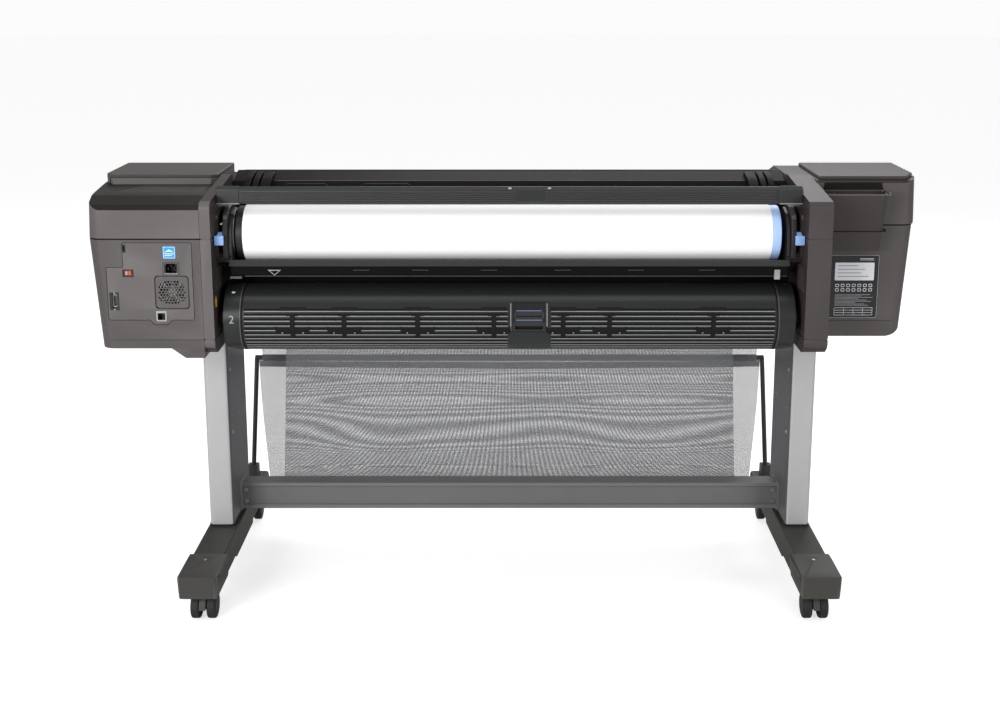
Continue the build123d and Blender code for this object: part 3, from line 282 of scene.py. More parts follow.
FINISHES = {
    SHELL: ["cover_left_upper", "arm_left"],
    SHELL_SHADED_LOWER: ["cover_left_lower"],
    SHELL_SHADED_RIGHT: ["cover_right_lower", "cover_right_upper"],
    ARM_SHADED_RIGHT: ["arm_right"],
    SHELL_DARK_AND_SHADE: ["front_apron", "lever_housings"],
    POCKET: ["document_pocket"],
    DECK: ["top_deck"],
    PANEL: ["io_panel", "fan_housing"],
    FAN_GREY: ["fan_rotor"],
    GLOSS_LID: ["ink_lid_left", "ink_lid_right"],
    GLOSS_BLACK: ["roll2_handle", "control_panel"],
    BAR: ["guard_bar"],
    DRUM: ["roll2_cover"],
    GUIDE: ["bay_guide"],
    LEG: ["legs"],
    BEAM: ["cross_beam"],
    FOOT: ["feet"],
    FOOT_PLASTIC: ["foot_covers", "basket_clips"],
    BLACK: ["roll1_spindle", "roll2_spindle", "carriage", "power_inlet"],
    BLACK_AND_SHADE: ["bay_rear_wall", "platen", "side_plates"],
    TUBE: ["basket_tubes"],
    RUBBER: ["drive_belt"],
    BLUE: ["lever_left", "lever_right"],
    HUB_BLUE: ["roll1_blue_hub"],
    PAPER: ["roll1_media", "roll2_media"],
    STEEL: ["carriage_rail"],
    ZINC: ["beam_brackets", "chassis_tray"],
    ROLLER: ["feed_roller", "pinch_rollers"],
    WINDOW: ["window_lid"],
    BOARD: ["electronics"],
    INK: ["ink_cartridges"],
    LABEL_FILM: ["labels", "data_sockets"],
    ORANGE: ["power_rocker"],
}
CASTERS = [(end, side) for end in ("rear", "front") for side in ("left", "right")]
for end, side in CASTERS:
    FINISHES[FOOT_PLASTIC].append(f"caster_swivel_{end}_{side}")
    FINISHES[RUBBER].append(f"caster_wheels_{end}_{side}")
NO_BEVEL = {"electronics", "ink_cartridges", "drive_belt", "fan_rotor", "labels", "carriage_rail"}


def crisp_creases(mesh, least=5, most=32, wide=0.025):
    """Marks the shallow creases between two broad flat regions, so that shading does not run across them."""
    bm = bmesh.new()
    bm.from_mesh(mesh)
    bm.normal_update()
    source = bm.edges.layers.int.new("source")
    for e in bm.edges:
        e[source] = e.index
    bm.faces.ensure_lookup_table()
    region, widths = {}, []
    for seed in bm.faces:
        if seed in region:
            continue
        region[seed] = len(widths)
        stack, area, points = [seed], 0.0, []
        while stack:
            f = stack.pop()
            area += f.calc_area()
            points += [v.co for v in f.verts]
            for e in f.edges:
                for g in e.link_faces:
                    if g not in region and g.normal.dot(seed.normal) > 0.99999:
                        region[g] = len(widths)
                        stack.append(g)
        size = Vector([max(p[i] for p in points) - min(p[i] for p in points) for i in range(3)])
        widths.append(area / max(size.length, 1e-9))
    for e in bm.edges:
        if len(e.link_faces) == 2 and all(widths[region[f]] > wide for f in e.link_faces):
            if math.radians(least) < e.calc_face_angle(0) < math.radians(most):
                mesh.edges[e[source]].use_edge_sharp = True
    bm.free()


def soften(obj, width=0.5, segments=2, angle=32, flat=False):
    """Small rounded edges on a hard surface, shaded smooth."""
    for p in obj.data.polygons:
        p.use_smooth = True
    weld = obj.modifiers.new("weld", "WELD")
    weld.merge_threshold = 1e-5
    if flat:
        crisp_creases(obj.data)
        plane = obj.modifiers.new("flat", "DECIMATE")
        plane.decimate_type = "DISSOLVE"
        plane.angle_limit = math.radians(0.2)
        plane.delimit = {"SHARP", "MATERIAL"}
    if width:
        bevel = obj.modifiers.new("bevel", "BEVEL")
        bevel.width = width * MM
        bevel.segments = segments
        bevel.limit_method = "ANGLE"
        bevel.angle_limit = math.radians(angle)
        bevel.harden_normals = True
    normal = obj.modifiers.new("normals", "WEIGHTED_NORMAL")
    normal.keep_sharp = True


EDGE = {"legs": 0.8, "feet": 1.0, "foot_covers": 0.8, "cover_left_lower": 1.6, "cover_left_upper": 2.2,
        "cover_right_lower": 1.6, "cover_right_upper": 2.0, "arm_left": 1.5, "arm_right": 1.5, "cross_beam": 0.6,
        "guard_bar": 0.4, "roll2_cover": 0.3, "roll1_media": 0.3, "roll2_media": 0.3, "top_deck": 0.8,
        "io_panel": 0.4, "fan_housing": 0.2, "data_sockets": 0.3, "power_inlet": 0.3}
BROAD = {"foot_covers", "feet", "cover_left_lower", "cover_left_upper", "cover_right_lower", "cover_right_upper",
         "ink_lid_left", "ink_lid_right", "arm_left", "arm_right", "document_pocket", "top_deck", "front_apron"}
for look, names in FINISHES.items():
    for name in names:
        obj = NODES[name]
        obj.data.materials.clear()
        obj.data.materials.append(look)
        soften(obj, 0 if name in NO_BEVEL else EDGE.get(name, 0.5), flat=name in BROAD)


def paint_shade_on_faces(name, look, test):
    """Painted shade: a second, darker material on the faces of a CAD part whose normal and centre (millimetres) pass
    the test.
    """
    mesh = NODES[name].data
    mesh.materials.append(look)
    slot = len(mesh.materials) - 1
    for p in mesh.polygons:
        if test(p.normal, p.center / MM):
            p.material_index = slot


def drum_radius(c):
    return math.hypot(c.y - DRUM_Y, c.z - DRUM_Z)


# Painted shade: the arms' inner faces, undersides and tops apart from the rear strip get the darker plastic.
paint_shade_on_faces("arm_left", SHELL_DARK_AND_SHADE, lambda n, c: n.x > 0.6 or n.z < -0.6 or (n.z > 0.6 and c.y > -300))
paint_shade_on_faces("arm_right", SHELL_DARK_AND_SHADE, lambda n, c: n.x < -0.6 or n.z < -0.6 or (n.z > 0.6 and c.y > -300))
# Painted shade: the legs' inner faces get the darker grey.
paint_shade_on_faces("legs", LEG_SHADED_SIDE, lambda n, c: abs(n.x) > 0.7 and n.x * c.x < 0)
# Painted shade: the upward faces along the top of the left upper cover are made much darker.
paint_shade_on_faces("cover_left_upper", SHADED_TOP_PLASTIC, lambda n, c: n.z > 0.35 and c.z > 951 and c.y < 45)
# Painted shade: the right upper cover's upward faces get the darker plastic.
paint_shade_on_faces("cover_right_upper", SHELL_DARK_AND_SHADE, lambda n, c: n.z > 0.6)
# Painted shade: the faces inside the drum's grooves are made black.
paint_shade_on_faces("roll2_cover", BLACK_AND_SHADE, lambda n, c: drum_radius(c) < 71.4 and abs(c.x) < 561)


# ---- modelling helpers ----------------------------------------------------------------------
AXES = {"x": (0, 1, 2), "y": (1, 0, 2), "z": (2, 0, 1)}


def rounded(u0, u1, v0, v1, r, n=4):
    """Outline of a rectangle with rounded corners."""
    corners = ((u1 - r, v1 - r, 0), (u0 + r, v1 - r, 90), (u0 + r, v0 + r, 180), (u1 - r, v0 + r, 270))
    return [(cu + r * math.cos(math.radians(a + 90 * i / n)), cv + r * math.sin(math.radians(a + 90 * i / n)))
            for cu, cv, a in corners for i in range(n + 1)]


def circle(u, v, r, n=32, start=0.0):
    return [(u + r * math.cos(math.tau * i / n + start), v + r * math.sin(math.tau * i / n + start)) for i in range(n)]


class Shape:
    """Gathers solids in millimetres and turns them into one piece."""

    def __init__(self):
        self.bm = bmesh.new()

    def loop(self, points, axis, at):
        w, u, v = AXES[axis]
        out = []
        for p in points:
            c = [0.0, 0.0, 0.0]
            c[w], c[u], c[v] = at, p[0], p[1]
            out.append(self.bm.verts.new([k * MM for k in c]))
        return out

    def skin(self, a, b):
        for i in range(len(a)):
            self.bm.faces.new((a[i - 1], a[i], b[i], b[i - 1]))

    def prism(self, axis, points, lo, hi, top=None):
        """Closed prism along an axis; top is another outline for a tapered one."""
        a, b = self.loop(points, axis, lo), self.loop(top or points, axis, hi)
        self.skin(a, b)
        self.bm.faces.new(a)
        self.bm.faces.new(b[::-1])
        return self

    def box(self, x0, x1, y0, y1, z0, z1):
        return self.prism("z", [(x0, y0), (x1, y0), (x1, y1), (x0, y1)], z0, z1)

    def rod(self, axis, u, v, r, lo, hi, n=32, r1=None):
        return self.prism(axis, circle(u, v, r, n), lo, hi, circle(u, v, r if r1 is None else r1, n))

    def band(self, axis, outer, inner, lo, hi):
        """Frame or ring between two outlines of equal length."""
        loops = [self.loop(p, axis, at) for at in (lo, hi) for p in (outer, inner)]
        self.skin(loops[0], loops[2])
        self.skin(loops[1], loops[3])
        self.skin(loops[0], loops[1])
        self.skin(loops[2], loops[3])
        return self

    def piece(self, name, look, body="frame", slot=None, bevel=0.25, segments=2):
        bmesh.ops.recalc_face_normals(self.bm, faces=self.bm.faces)
        mesh = bpy.data.meshes.new(name)
        self.bm.to_mesh(mesh)
        self.bm.free()
        obj = bpy.data.objects.new(name, mesh)
        bpy.context.scene.collection.objects.link(obj)
        mesh.materials.append(look)
        soften(obj, bevel, segments)
        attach(obj, body)
        return obj


# ---- left module ----------------------------------------------------------------------------
dots = Shape()
for row in range(17):
    for col in range(33):
        x, y = -852 + col * 6.0 + (3.0 if row % 2 else 0), -256 + row * 6.0
        if x < -836 + (y + 256) * 0.35:
            continue
        dots.rod("z", x, y, 1.6, 975.6, 976.5, 8, 0.9)
dots.piece("vent_dots_left", TRIM_AND_HIGHLIGHT, slot="dark_shell", bevel=0)
Shape().prism("z", [(-858, -262), (-855.5, -262), (-819.5, -154), (-822, -154)], 975.7, 976.3).piece(
    "patch_line_left", SHELL_DARK_AND_SHADE, slot="dark_shell", bevel=0.1)

guard = Shape()
for r in (8, 14.5, 21, 27.5):
    guard.band("y", circle(FAN_X, FAN_Z, r + 0.7, 40), circle(FAN_X, FAN_Z, r - 0.7, 40), REAR + 4.2, REAR + 5.6)
for k in range(4):
    a = math.radians(45 + 90 * k)
    u, v = math.cos(a), math.sin(a)
    spoke = [(FAN_X + r * u + side * v, FAN_Z + r * v - side * u) for r, side in ((8, -1), (30, -1), (30, 1), (8, 1))]
    guard.prism("y", spoke, REAR + 4.4, REAR + 5.4)
guard.rod("y", FAN_X, FAN_Z, 9, REAR + 5.7, REAR + 7.5, 32)
guard.piece("fan_guard", ZINC, slot="zinc", bevel=0.2)

frames = Shape()
frames.band("y", rounded(-738.5, -716.5, 716.5, 739.5, 1.5), rounded(-735.4, -719.6, 719.6, 734.4, 1),
            REAR, REAR + 1)
frames.band("y", rounded(-828.8, -819.2, 746, 774, 4), rounded(-827.2, -820.8, 748, 772, 3), REAR + 5, REAR + 8)
frames.piece("socket_frames", LIGHT_INSERT, slot="zinc", bevel=0.2)
Shape().band("y", rounded(-719.4, -686.6, 817.5, 842.5, 3), rounded(-716.4, -689.6, 819.6, 840.4, 3),
             REAR, REAR + 1).piece("inlet_frame", TRIM_AND_HIGHLIGHT, slot="black_plastic", bevel=0.3)
Shape().prism("y", rounded(-717, -689, 817.9, 819.6, 0.5), REAR - 0.05, REAR + 0.4).piece(
    "inlet_edge", LIGHT_INSERT, slot="zinc", bevel=0.1)
Shape().band("y", rounded(-739, -667, 743, 815, 8), rounded(-737.4, -668.6, 744.6, 813.4, 7),
             REAR + 0.2, REAR + 1.4).piece("fan_outline", BLACK_AND_SHADE, slot="black_plastic", bevel=0.1)
contacts = Shape()
for i in range(8):
    contacts.box(-733.5 + i * 1.8, -732.7 + i * 1.8, REAR + 9, REAR + 16, 732, 733)
contacts.rod("y", -824, 742.5, 1.4, REAR, REAR + 2, 12)
contacts.rod("y", -824, 777.5, 1.4, REAR, REAR + 2, 12)
contacts.piece("socket_contacts", ZINC, slot="zinc", bevel=0.1)

Shape().prism("y", rounded(-798.4, -793.5, 816.4, 823.6, 1), REAR + 0.9, REAR + 1.6).piece(
    "rocker_mark", LIGHT_INSERT, "power_rocker", "zinc", bevel=0.1)
sticker = Shape()
ink = (REAR - 0.05, REAR + 0.02)
sticker.band("y", rounded(-717, -693, 852, 876, 1), rounded(-716.2, -693.8, 852.8, 875.2, 1), *ink)
sticker.prism("y", [(-715, 864), (-705, 871), (-695, 864), (-705, 866.5)], *ink)
sticker.box(-714.5, -695.5, *ink, 860.5, 862)
sticker.box(-714.5, -699.5, *ink, 857, 858.5)
sticker.piece("sticker_graphics", WHITE_PRINT, slot="label", bevel=0)
Shape().prism("y", rounded(-718, -692, 851, 877, 1.2), REAR - 0.02, REAR + 0.2).piece(
    "sticker_film", STICKER, slot="label", bevel=0.05)


# ---- arms, levers and spindle supports ------------------------------------------------------
for s, tag in ((-1, "left"), (1, "right")):
    inner = s * BAY_X
    ribs = Shape()
    for i in range(7):
        y0, z0 = -322 + i * 8.5, 774
        pts = [(y0, z0), (y0 + 3.5, z0), (y0 + 3.5 + 16, z0 + 50), (y0 + 16, z0 + 50)]
        lo, hi = sorted((inner - s * 1.2, inner + s * 0.5))
        ribs.prism("x", pts, lo, hi)
    ribs.piece(f"arm_vent_ribs_{tag}", SHELL_DARK_AND_SHADE, slot="dark_shell", bevel=0.3)
    supports = Shape()
    cheek = [(-296, 846), (-300, 872), (-293, 905), (-270, 932), (-236, 941), (-206, 930), (-196, 900), (-196, 862),
             (-214, 842)]
    lo, hi = sorted((s * 584.5, s * 591.5))
    supports.prism("x", cheek, lo, hi)
    lo, hi = sorted((s * 586, s * 617))
    supports.prism("x", [(-292, 832), (-286, 846), (-196, 846), (-196, 832)], lo, hi)
    supports.piece(f"spindle_cheek_{tag}", BLACK, slot="black_plastic", bevel=1.2)
Shape().band("x", circle(ROLL1_Y, ROLL1_Z, 53, 48), circle(ROLL1_Y, ROLL1_Z, 24, 48), -584.3, -582.4).rod(
    "y", -603, 917, 2, -308, -300, 12).piece("flange_disc_left", ZINC, "roll_1", slot="zinc", bevel=0.3)
Shape().prism("x", [(-324, 742), (-316, 742), (-316, 752), (-313, 752), (-320, 766), (-327, 752), (-324, 752)],
              -618.2, -617.4).piece("arrow_mark", YELLOW, slot="label", bevel=0)

for s, tag in ((-1, "left"), (1, "right")):
    pad = Shape()
    lo, hi = sorted((s * 597.5, s * 616))
    pad.prism("x", [(-312.6, 876), (-319, 873.5), (-321.5, 878), (-321.5, 890), (-319, 894), (-312.6, 893)], lo, hi)
    mid = s * 606.8
    pad.band("y", circle(mid, 884, 4.6, 24), circle(mid, 884, 3.6, 24), -322.1, -321)
    pad.piece(f"lever_pad_{tag}", BLUE, f"lever_{tag}", "blue_plastic", bevel=0.9, segments=3)
    trim = Shape()
    for near, far in ((593, 601), (613, 617.5)):
        lo, hi = sorted((s * near, s * far))
        trim.prism("x", [(-295.5, 933), (-299.4, 925.5), (-297, 923.5), (-291.5, 931)], lo, hi)
    trim.piece(f"housing_trim_{tag}", TRIM_AND_HIGHLIGHT, slot="black_plastic", bevel=0.5)
    slots = Shape()
    slots.rod("y", s * 606, 846, 3.0, -306, -300, 18)
    slots.piece(f"housing_slot_{tag}", BLACK_AND_SHADE, slot="black_plastic", bevel=0.3)

# ---- guard bar, deck ------------------------------------------------------------------------
BAR_END = [(-284, 954), (-284.6, 968), (-284, 986), (-273, 992.4), (-261, 989), (-260, 975), (-261, 961),
           (-269, 954)]
for s, tag in ((-1, "left"), (1, "right")):
    cap = Shape()
    lo, hi = sorted((s * 569, s * 616))
    cap.prism("x", BAR_END, lo, hi)
    cap.piece(f"guard_bar_end_{tag}", BAR, slot="dark_shell", bevel=1.4, segments=3)
    Shape().prism("x", [(-284.6, 957), (-284.6, 955), (-270, 952.6), (-270, 955)], lo, hi).piece(
        f"guard_bar_lip_{tag}", PALE_AND_HIGHLIGHT, slot="bar_grey", bevel=0.3)
    hinge = Shape()
    for i, width in enumerate((22, 13, 13)):
        x = s * (528 + (0, 26, 43)[i])
        rise = 1.5 * i
        arc = [(-168, 961), (-152, 970 + rise), (-130, 981 + rise), (-106, 988 + rise), (-70, 993 + rise / 2),
               (-70, 986), (-106, 976), (-124, 961)]
        lo, hi = sorted((x, x + s * width))
        hinge.prism("x", arc, lo, hi)
    hinge.piece(f"deck_ribs_{tag}", DECK, slot="dark_shell", bevel=1.2, segments=3)
# Painted highlight: pale rods along the deck's two step edges.
ridges = Shape()
ridges.rod("x", -46.5, 993.0, 0.9, -600, 600, 10)
ridges.rod("x", -105.5, 977.3, 0.9, -524, 524, 10)
ridges.piece("deck_edge_lines", TRIM_AND_HIGHLIGHT, slot="dark_shell", bevel=0)
recesses = Shape()
for x0, x1 in ((-510, -396), (-336, -212)):
    recesses.prism("y", [(x0, 962.5), (x1, 962.5), (x1 - 14, 973), (x0 + 14, 973)], -123.5, -112)
recesses.piece("finger_recesses", BLACK_AND_SHADE, slot="black_plastic", bevel=1.0)
notches = Shape()
for x in (1, 84):
    notches.box(x - 3.5, x + 3.5, -283.2, -279, 986.5, 990)
notches.piece("guard_bar_notches", PALE_AND_HIGHLIGHT, slot="bar_grey", bevel=0.4)

# Near-black strip under the guide's lip, painted as the shadow in its gap, with a plain triangle mark, and the clips at
# its ends.
gap_shadow = Shape()
gap_shadow.prism("x", [(-303, 829), (-298.5, 806), (-292, 801), (-289, 803), (-295, 809), (-299, 829)], -588, 588)
gap_shadow.piece("guide_gap_shadow", GAP_SHADOW_BLACK, slot="guide_grey", bevel=0.6)
gap_shadow_edge = Shape()
gap_shadow_edge.rod("x", -295.8, 802.8, 0.9, -560, 588, 10)
gap_shadow_edge.prism("x", [(-300.5, 803), (-300.5, 798), (-282, 798), (-282, 803)], -590, -566)
gap_shadow_edge.piece("guide_gap_shadow_edge", TRIM_AND_HIGHLIGHT, slot="guide_grey", bevel=0.2)
clip = Shape()
clip.box(559, 571, -304, -296, 797, 818)
clip.rod("y", 565, 812, 3.4, -306, -304, 20)
clip.piece("guide_clip", LIGHT_INSERT, slot="zinc", bevel=0.8)
dashes = Shape()
for x in (-330, -205, -60, 95, 250, 400):
    dashes.box(x, x + 34, -302.6, -301, 816.5, 817.7)
dashes.piece("guide_dashes", TRIM_AND_HIGHLIGHT, slot="guide_grey", bevel=0)
tri = Shape()
tri.band("y", [(-510, 817.5), (-482, 817.5), (-496, 805.5)], [(-506, 815.8), (-486, 815.8), (-496, 807.5)],
         -302.2, -301.2)
tri.piece("guide_mark", PALE_AND_HIGHLIGHT, slot="label", bevel=0)

# Raised ribs on the guard bar, coloured lighter than the bar as their painted highlight.
bar_lines = Shape()
for i in range(5):
    for x0, x1 in ((-560, 14), (74, 560)):
        bar_lines.rod("x", -282.7, 963.3 + i * 4.4, 0.6, x0, x1, 8)
bar_lines.piece("guard_bar_beads", TRIM_AND_HIGHLIGHT, slot="bar_grey", bevel=0)

# ---- drum details ---------------------------------------------------------------------------
def on_drum(shape, x0, x1, z0, z1, lift=0.25, steps=4):
    """Thin plate lying on the drum's rear surface between two heights."""
    outer, inner = [], []
    for i in range(steps + 1):
        z = z0 + (z1 - z0) * i / steps
        a = math.asin((z - DRUM_Z) / DRUM_R)
        outer.append((DRUM_Y - (DRUM_R + lift) * math.cos(a), DRUM_Z + (DRUM_R + lift) * math.sin(a)))
        inner.append((DRUM_Y - (DRUM_R - 1.5) * math.cos(a), DRUM_Z + (DRUM_R - 1.5) * math.sin(a)))
    shape.prism("x", outer + inner[::-1], x0, x1)


tees, bolts = Shape(), Shape()
for x in (-458, -349, -194, -33, 113, 211, 430):
    on_drum(tees, x - 33, x + 33, 684, 696, 1.2)
    on_drum(tees, x - 5, x + 5, 676, 724, 1.2)
    # Painted shadow: the wide upper bar over each bracket.
    on_drum(tees, x - 27, x + 27, 733, 740, 1.2)
    on_drum(tees, x - 12, x + 12, 722, 726, 1.2)
    for dx in (-36, 33):
        on_drum(tees, x + dx, x + dx + 3, 688, 700, 1.2)
    for dx in (-22, 22):
        on_drum(bolts, x + dx - 1.4, x + dx + 1.4, 685, 687.5, 1.5)
tees.piece("drum_brackets_and_shadow_bars", BLACK_AND_SHADE, "roll_2_cover", "black_plastic", bevel=0.15)
bolts.piece("drum_bracket_bolts", ZINC, "roll_2_cover", "zinc", bevel=0.1)

# Painted reflection: two pale blue strips across the black handle.
lines = Shape()
for z in (714, 733):
    on_drum(lines, 14, 68, z - 0.8, z + 0.8, 0.6, 2)
lines.piece("handle_painted_reflections", HANDLE_REFLECTION, "roll_2_cover", "blue_plastic", bevel=0.2)
rims = Shape()
for x0, x1 in ((4, 7), (75, 78)):
    on_drum(rims, x0, x1, DRUM_Z - 18, DRUM_Z + 46, 0.8, 8)
on_drum(rims, 4, 78, DRUM_Z - 20, DRUM_Z - 17, 0.8, 2)
on_drum(rims, 4, 78, DRUM_Z + 44, DRUM_Z + 46.5, 0.8, 2)
# Painted highlight: pale rods along the drum's grooves, as the light on its ribs.
beads = Shape()
for i in range(10):
    a = math.radians(155 + i * 8.3 + 3.1)
    y, z = DRUM_Y + 71.6 * math.cos(a), DRUM_Z + 71.6 * math.sin(a)
    for x0, x1 in ((-560, -4), (88, 560)):
        beads.rod("x", y, z, 0.85, x0, x1, 10)
beads.piece("drum_rib_highlights", PALE_AND_HIGHLIGHT, "roll_2_cover", "bar_grey", bevel=0)
rims.piece("handle_rim", BLACK, "roll_2_cover", "bar_grey", bevel=0.4)
glints = Shape()
for x0, x1 in ((2, 3.6), (78.4, 80)):
    on_drum(glints, x0, x1, DRUM_Z - 14, DRUM_Z + 42, 0.7, 8)
glints.piece("handle_glints", PALE_AND_HIGHLIGHT, "roll_2_cover", "bar_grey", bevel=0.1)
# Painted shade: black rings fill the gaps between the drum and its end discs.
rings = Shape()
for s in (-1, 1):
    lo, hi = sorted((s * 563.5, s * 567.5))
    rings.band("x", circle(DRUM_Y, DRUM_Z, 72.35, 72), circle(DRUM_Y, DRUM_Z, 70, 72), lo, hi)
rings.piece("drum_end_gaps", BLACK_AND_SHADE, "roll_2_cover", "black_plastic", bevel=0)
# Painted highlight: pale rings on the rims of the drum's end discs.
lips = Shape()
for s in (-1, 1):
    lo, hi = sorted((s * 567.7, s * 570))
    lips.band("x", circle(DRUM_Y, DRUM_Z, 72.5, 72), circle(DRUM_Y, DRUM_Z, 70, 72), lo, hi)
lips.piece("drum_end_rim_highlights", TRIM_AND_HIGHLIGHT, "roll_2_cover", "bar_grey", bevel=0.3)
mark = Shape()
on_drum(mark, -590, -583, 765, 767.5, 0.3, 2)
mark.piece("disc_mark", WHITE_PRINT, "roll_2_cover", "label", bevel=0)

curve = bpy.data.curves.new("numeral", "FONT")
curve.body = "2"
curve.size = 24 * MM
curve.extrude = 0.15 * MM
curve.align_x, curve.align_y = "CENTER", "CENTER"
text = bpy.data.objects.new("numeral_source", curve)
mesh = bpy.data.meshes.new_from_object(text)
bpy.data.objects.remove(text)
for v in mesh.vertices:
    a = math.asin((714 - DRUM_Z) / DRUM_R) + v.co.y / (DRUM_R * MM)
    r = (DRUM_R + 0.2) * MM + v.co.z
    v.co = (-586.5 * MM + v.co.x, DRUM_Y * MM - r * math.cos(a), DRUM_Z * MM + r * math.sin(a))
numeral = bpy.data.objects.new("roll_number", mesh)
bpy.context.scene.collection.objects.link(numeral)
mesh.materials.append(LIGHT_INSERT)
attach(numeral, "roll_2_cover")

# ---- right box ------------------------------------------------------------------------------
print_white, print_grey = Shape(), Shape()
film = (RIGHT_FACE - 0.15, RIGHT_FACE + 0.05)
print_grey.band("y", rounded(706, 812, 683, 825, 2), rounded(707, 811, 684, 824, 2), *film)
print_white.prism("y", rounded(716, 802, 768, 808, 1.5), *film)
for z in (814, 817):
    print_white.box(770, 800, *film, z - 0.5, z + 0.5)
for z in (743, 753):
    for col in range(7):
        x = 718 + col * 12.2
        print_white.band("y", rounded(x, x + 8, z, z + 7, 2), rounded(x + 1.2, x + 6.8, z + 1.2, z + 5.8, 1.2), *film)
for row in range(9):
    width = (78, 60, 84, 52, 70, 80, 46, 66, 74)[row]
    print_grey.box(718, 718 + width, *film, 735 - row * 3, 736.1 - row * 3)
for row in range(4):
    print_white.box(718, 802, *film, 689 + row * 5.6, 689.7 + row * 5.6)
for col in range(5):
    print_white.box(718 + col * 21 - 0.3, 718 + col * 21 + 0.3, *film, 689, 706)
print_white.piece("rating_label_light", WHITE_PRINT, slot="label", bevel=0)
print_grey.piece("rating_label_grey", GREY_PRINT, slot="label", bevel=0)
lettering = Shape()
for i, width in enumerate((44, 60, 52, 68)):
    lettering.box(722, 722 + width, RIGHT_FACE - 0.25, RIGHT_FACE - 0.1, 800 - i * 8, 802 - i * 8)
lettering.piece("rating_label_rows", GREY_PRINT, slot="label", bevel=0)

dividers = Shape()
for x in (716, 740):
    dividers.prism("x", [(-229, 852), (-242.5, 964), (-190, 964), (-190, 852)], x - 1.2, x + 1.2)
dividers.piece("pocket_dividers", SHELL_DARK_AND_SHADE, slot="dark_shell", bevel=0.4)
mouth = Shape()
mouth.prism("y", [(682, 968), (812, 968), (808, 986), (684, 986)], -188.4, -187.2)
mouth.piece("pocket_mouth", BLACK_AND_SHADE, slot="dark_shell", bevel=0.3)
seam = Shape()
seam.band("z", rounded(671.6, 811.6, -237.9, -187.4, 11), rounded(674, 809, -235.5, -189, 9), 886.5, 888.6)
seam.piece("pocket_seam", BLACK_AND_SHADE, slot="dark_shell", bevel=0)
rim = Shape()
rim.band("z", rounded(671, 817.5, -247.6, -187.2, 10), rounded(674.5, 814, -244.4, -190.5, 8), 966, 970)
rim.piece("pocket_rim", SHELL_SHADED_RIGHT, slot="dark_shell", bevel=1.0)


def seam_gap_shade(name, corners, cx, cy):
    """Painted shade: dark strip just inside the shadow gap of an end box, along its three outer sides."""
    path = []
    for i, (x, y, r) in enumerate(corners):
        p = Vector((x, y))
        if not r:
            path.append(p)
            continue
        start, end = (p + (Vector(corners[k][:2]) - p).normalized() * r for k in (i - 1, i + 1))
        path += [start * (1 - t) ** 2 + p * 2 * t * (1 - t) + end * t * t for t in (0, 0.25, 0.5, 0.75, 1)]
    outer, inner = ([(cx + (v.x - cx) * k, cy + (v.y - cy) * k) for v in path] for k in (0.990, 0.965))
    Shape().prism("z", outer + inner[::-1], 890.7, 893.3).piece(name, BLACK_AND_SHADE, slot="dark_shell", bevel=0)


seam_gap_shade("seam_gap_shade_left", [(-640.6, REAR, 0), (-872, REAR, 30), (-900, -120, 0), (-900, 200, 25),
                                 (-618.6, 225, 0)], -760, -60)
seam_gap_shade("seam_gap_shade_right", [(668.6, -187, 0), (880, -187, 26), (900, -125, 0), (900, 200, 25),
                                  (618.6, 225, 0)], 760, 20)

# ---- output side ----------------------------------------------------------------------------
panel = Shape()
panel.prism("y", rounded(760, 824, 902, 925, 2), 231, 231.5)
panel.piece("panel_screen", SCREEN, "control_panel", "window", bevel=0.1)
buttons = Shape()
for x in (732, 746, 838, 852):
    buttons.rod("y", x, 913, 4.2, 230.6, 232.0, 24, 3.8)
buttons.piece("panel_buttons", LIGHT_INSERT, "control_panel", "zinc", bevel=0.3)

# ---- stand ----------------------------------------------------------------------------------
for s, tag in ((-1, "left"), (1, "right")):
    x0, x1 = sorted((s * 669, s * 727))
    Shape().band("z", rounded(x0 - 2, x1 + 2, -14, 194, 10), rounded(x0 + 0.2, x1 - 0.2, -11.8, 191.8, 8.8),
                 114, 119).piece(f"leg_gasket_{tag}", BLACK, slot="black_plastic", bevel=0.6)
screws = Shape()
for s in (-1, 1):
    for y in (-202, 252):
        screws.rod("z", s * 696, y, 4.6, 115, 116.2, 24, 4.0)
        screws.rod("z", s * 696, y, 1.6, 116.2, 116.5, 6, 1.6)
screws.piece("cover_screws", ZINC, slot="zinc", bevel=0.2)
bolts = Shape()
for s in (-1, 1):
    for z in (344, 501):
        lo, hi = sorted((s * 669.2, s * 667.4))
        bolts.rod("x", 16, z, 4, lo, hi, 6)
        bolts.rod("x", 16, z, 5.5, *sorted((s * 669.2, s * 668.6)), 24)
bolts.piece("leg_bolts", ZINC, slot="zinc", bevel=0.3)

CASTER_AT = {"rear": (-235.0, -1), "front": (284.0, 1)}
for end, side in CASTERS:
    s = -1 if side == "left" else 1
    y0, toward = CASTER_AT[end]
    x, y = s * 689.0, y0 + toward * 16
    body = f"caster_swivel_{end}_{side}"
    hood = Shape()
    arc = [(y + 33 * math.cos(math.radians(a)), 30 + 33 * math.sin(math.radians(a))) for a in range(0, 181, 15)]
    low = [(y + 24 * math.cos(math.radians(a)), 30 + 24 * math.sin(math.radians(a))) for a in range(180, -1, -15)]
    hood.prism("x", [(a, min(b, 62.5)) for a, b in arc + low], x - 7.4, x + 7.4)
    hood.piece(f"caster_hood_{end}_{side}", FOOT_PLASTIC, body, "foot_plastic", bevel=1.0)
    hubs = Shape()
    for k in (-1, 1):
        lo, hi = sorted((x + k * 26.0, x + k * 28.2))
        hubs.rod("x", y, 30, 17, lo, hi, 32)
        hubs.band("x", circle(y, 30, 22, 40), circle(y, 30, 20, 40), lo, hi)
    hubs.piece(f"caster_hubs_{end}_{side}", BLACK, f"caster_wheels_{end}_{side}", "black_plastic", bevel=0.5)

